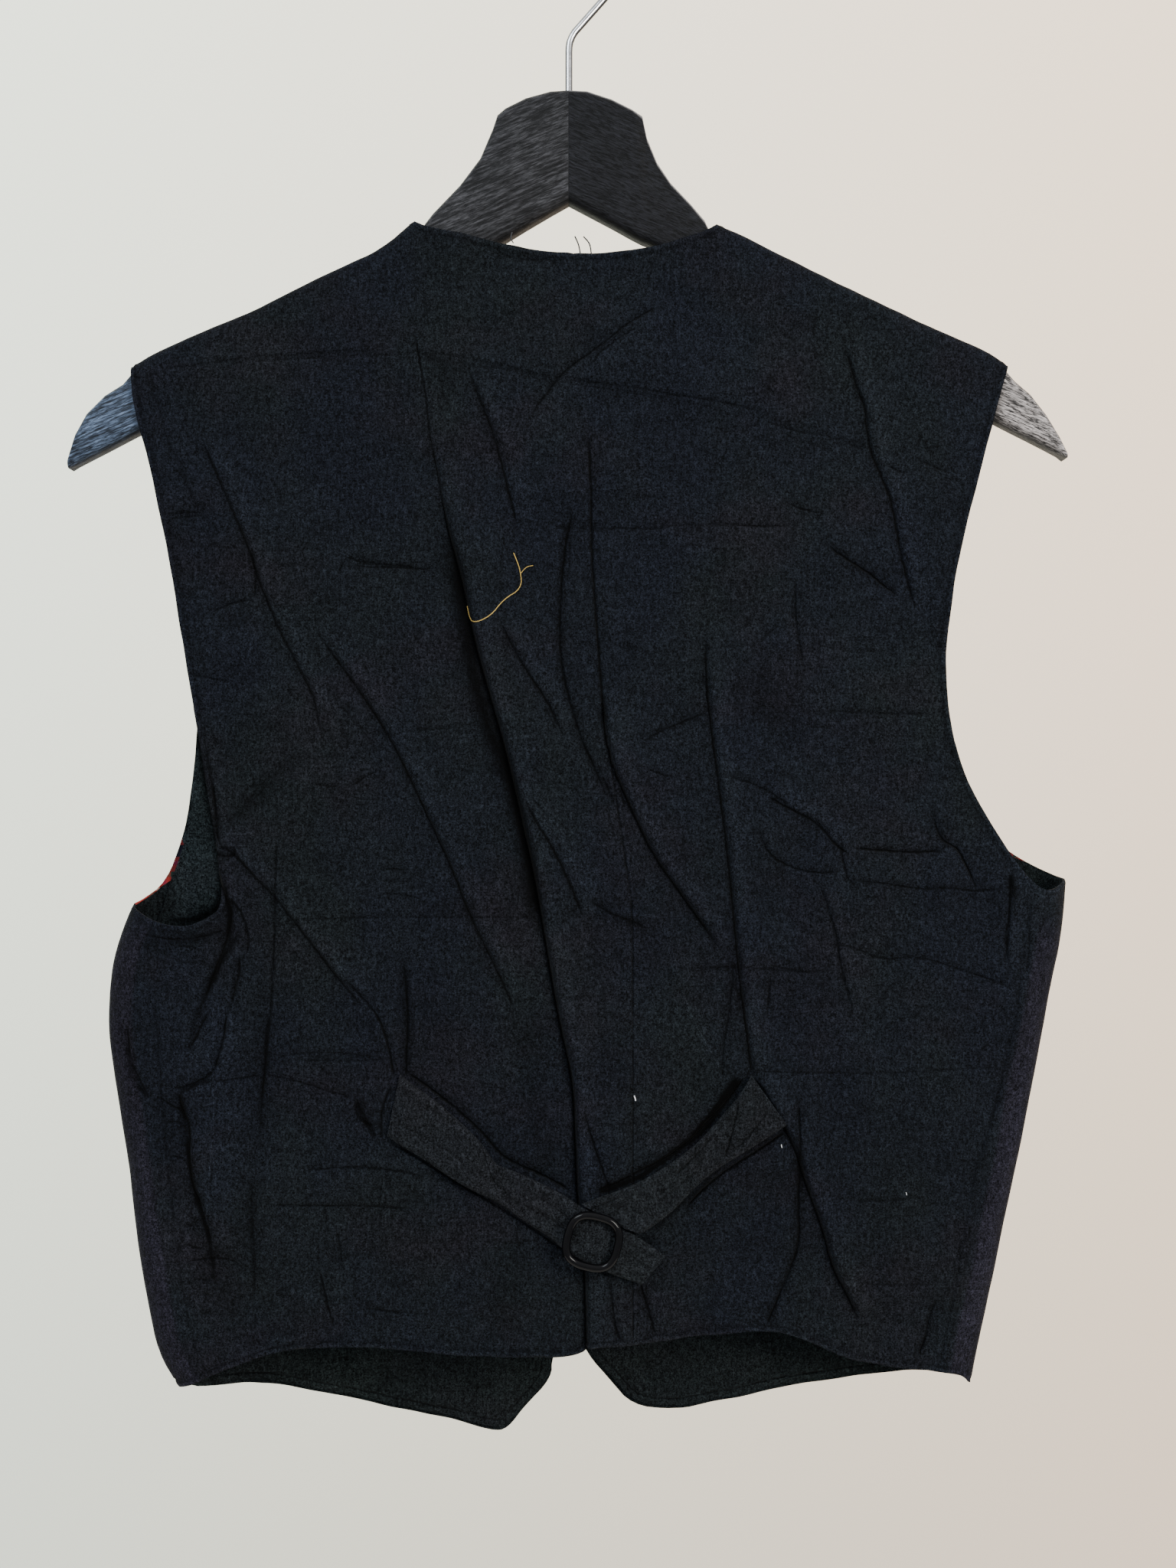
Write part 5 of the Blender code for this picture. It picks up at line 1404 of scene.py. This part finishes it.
def makeButtons():
    for number in range(button["count"]):
        node = "button_%d" % (number + 1)
        low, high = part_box(node)
        centre = (low + high) / 2.0
        shape = bmesh.new()
        rings = []
        for radius, height in buttonProfile:
            turns = button["segments"] if radius > 0.0 else 1
            ring = []
            for k in range(turns):
                angle = math.tau * k / button["segments"]
                ring.append(shape.verts.new((centre[0] + radius * button["radius"] * math.cos(angle),
                                             low[1] + height * button["height"],
                                             centre[2] + radius * button["radius"] * math.sin(angle))))
            rings.append(ring)
        for ring, following in zip(rings, rings[1:]):
            for k in range(button["segments"]):
                corners = [ring[k % len(ring)], ring[(k + 1) % len(ring)],
                           following[(k + 1) % len(following)], following[k % len(following)]]
                shape.faces.new(list(dict.fromkeys(corners)))
        mesh = meshOf(shape, node)
        mesh.shade_smooth()
        piece = added(node, mesh, "black_plastic")
        settled(piece, "black_plastic", node)
        lift = low[1] + button["well"] * button["height"]
        for tilt in (-1, 1):
            ends = [(centre[0] + button["holes"] * side, lift + button["threadLow"],
                     centre[2] + tilt * side * button["holes"]) for side in (-1, 1)]
            top = (centre[0], lift + button["threadHigh"], centre[2])
            thread = tube("%s_thread_%d" % (node, tilt + 2), [ends[0], top, ends[1]],
                          button["threadRadius"], False, 2, "black_thread")
            settled(thread, "black_cotton")


print("buttons")
makeButtons()


# Loose threads and lint on the back, and the stitches that show, in mm with how far they stand off
looseThreads = (
    ("yellow_thread", 0.00021, ((-44.5, -309), (-42.5, -317.5), (-34, -314), (-28.5, -306.5), (-20.5, -301.5),
                               (-21, -293.5), (-24, -286))),
    ("yellow_thread", 0.00016, ((-21, -295), (-18.5, -292), (-15.5, -291.5))),
    ("black_thread", 0.0003, ((2.7, -146.5), (4.4, -150), (5.2, -154.5))),
    ("black_thread", 0.0003, ((6.5, -146.5), (9.4, -149.5), (10, -154.5))),
    ("black_thread", 0.00025, ((-24.8, -145), (-25.6, -147.5), (-24.2, -149.8))),
    ("white_lint", 0.0003, ((28.6, -522.4), (29, -523.6), (29.2, -524.6))),
    ("white_lint", 0.00018, ((92.4, -543.6), (92.8, -545))),
    ("white_lint", 0.00014, ((147, -564.8), (147.3, -566))),
)
looseThread = dict(off=0.0004, step=0.0012, neck=-0.152, neckOff=0.0062)


def makeLooseThreads():
    for number, (finish, radius, table) in enumerate(looseThreads):
        line = sampled(curved(table), looseThread["step"])
        x, z = line[:, 0], line[:, 1]
        out = backDepth(x, z) + looseThread["off"]
        if z[0] > looseThread["neck"]:
            out = np.maximum(out, looseThread["neckOff"])
        piece = tube("loose_thread_%d" % (number + 1), np.column_stack((x, -out, z)).tolist(), radius,
                     False, 2, finish)
        settled(piece, "black_cotton")


print("loose threads")
makeLooseThreads()


# Each half of the hanger, a row for each section: x, top z, bottom z
headLeft = ((-0.02, -80, -130), (-8, -80.5, -134.5), (-19, -83.5, -141), (-28, -88, -146.5),
            (-31.5, -91, -148.5), (-33.5, -97, -149.5), (-39, -110, -152.3), (-48, -122, -157),
            (-60, -134.5, -163.3), (-63.5, -139, -165.2), (-67.5, -147, -167.3))
headRight = ((0.02, -80, -130), (8, -80.4, -134.2), (19, -84, -140), (28, -88.5, -145),
             (32.5, -91.5, -147.3), (34.5, -101, -148), (39, -112, -150.2), (45, -121, -153.3),
             (54, -130.5, -158), (60, -137.5, -161), (64.5, -147, -163.3))
tipLeft = ((-197, -210, -235.3), (-205, -215, -239.5), (-213, -223, -243.6), (-218, -232, -246.2),
           (-221, -243, -247.5))
tipRight = ((197, -208.5, -231.3), (204, -214.5, -234.8), (211, -223.5, -238.4), (217, -233.5, -241.5),
            (220, -241, -243))
wood = dict(thickness=0.012, rounding=0.004, stations=24, belowSeam=0.0024, corner=6)
# The rows by the kink are how far aside and how far above it the wire's middle runs
hook = dict(inner=0.0214, wire=0.0016, kink=-0.0558, foot=-0.0796, end=205, steps=72,
            rows=((0.0, -0.006), (0.0001, -0.004), (0.0004, -0.002), (0.0013, 0.0004), (0.0026, 0.0026)))


def section(x, top, bottom):
    # A section across the arm, with all four corners rounded
    half = wood["thickness"] / 2.0
    radius = min(wood["rounding"], (top - bottom) / 2.2)
    corners = ((half, top, 0), (-half, top, 90), (-half, bottom, 180), (half, bottom, 270))
    points = []
    for cornerY, cornerZ, start in corners:
        centreY = cornerY - math.copysign(radius, cornerY)
        centreZ = cornerZ - radius if cornerZ == top else cornerZ + radius
        for step in range(wood["corner"] + 1):
            angle = math.radians(start + 90.0 * step / wood["corner"])
            points.append((x, centreY + radius * math.cos(angle), centreZ + radius * math.sin(angle)))
    return points


def makeArm(name, head, tip, shoulder):
    stations = [tuple(value * mm for value in row) for row in head]
    ends = [tuple(value * mm for value in row) for row in tip]
    line = curved(shoulder)
    last = stations[-1]
    for k in range(1, wood["stations"]):
        share = k / wood["stations"]
        x = last[0] + (ends[0][0] - last[0]) * share
        low = last[2] + (ends[0][2] - last[2]) * share
        stations.append((x, float(readAt(line, x, 0, 1)) - wood["belowSeam"], low))
    shape = bmesh.new()
    rings = [[shape.verts.new(point) for point in section(*row)] for row in stations + ends]
    for ring, following in zip(rings, rings[1:]):
        for k in range(len(ring)):
            after = (k + 1) % len(ring)
            shape.faces.new((ring[k], ring[after], following[after], following[k]))
    shape.faces.new(rings[0])
    shape.faces.new(rings[-1])
    mesh = meshOf(shape, name)
    mesh.shade_smooth()
    mesh.set_sharp_from_angle(angle=math.radians(50))
    settled(added(name, mesh, "black_wood"), "black_wood", name)


def makeHook():
    bend = hook["inner"] + hook["wire"]
    centre = -hook["inner"]
    lean = math.degrees(math.asin(bend / (centre - hook["kink"])))
    points = [(0.0, 0.0, hook["foot"])] + [(across, 0.0, hook["kink"] + up) for across, up in hook["rows"]]
    for step in range(hook["steps"] + 1):
        angle = math.radians(-lean + (hook["end"] + lean) * step / hook["steps"])
        points.append((bend * math.cos(angle), 0.0, centre + bend * math.sin(angle)))
    piece = tube("hanger_hook", points, hook["wire"], False, 6, "bright_wire")
    settled(piece, "bright_wire", "hanger_hook")


print("hanger")
makeArm("hanger_left", headLeft, tipLeft, shoulderLeft)
makeArm("hanger_right", headRight, tipRight, shoulderRight)
makeHook()


def makeFloor():
    shape = bmesh.new()
    bmesh.ops.create_circle(shape, cap_ends=True, segments=96, radius=room["floorRadius"])
    mesh = bpy.data.meshes.new("floor")
    shape.to_mesh(mesh)
    shape.free()
    floor = added("floor", mesh, "pale_floor")
    floor.location = (0.0, 0.0, room["floor"])


makeFloor()
print("finish")
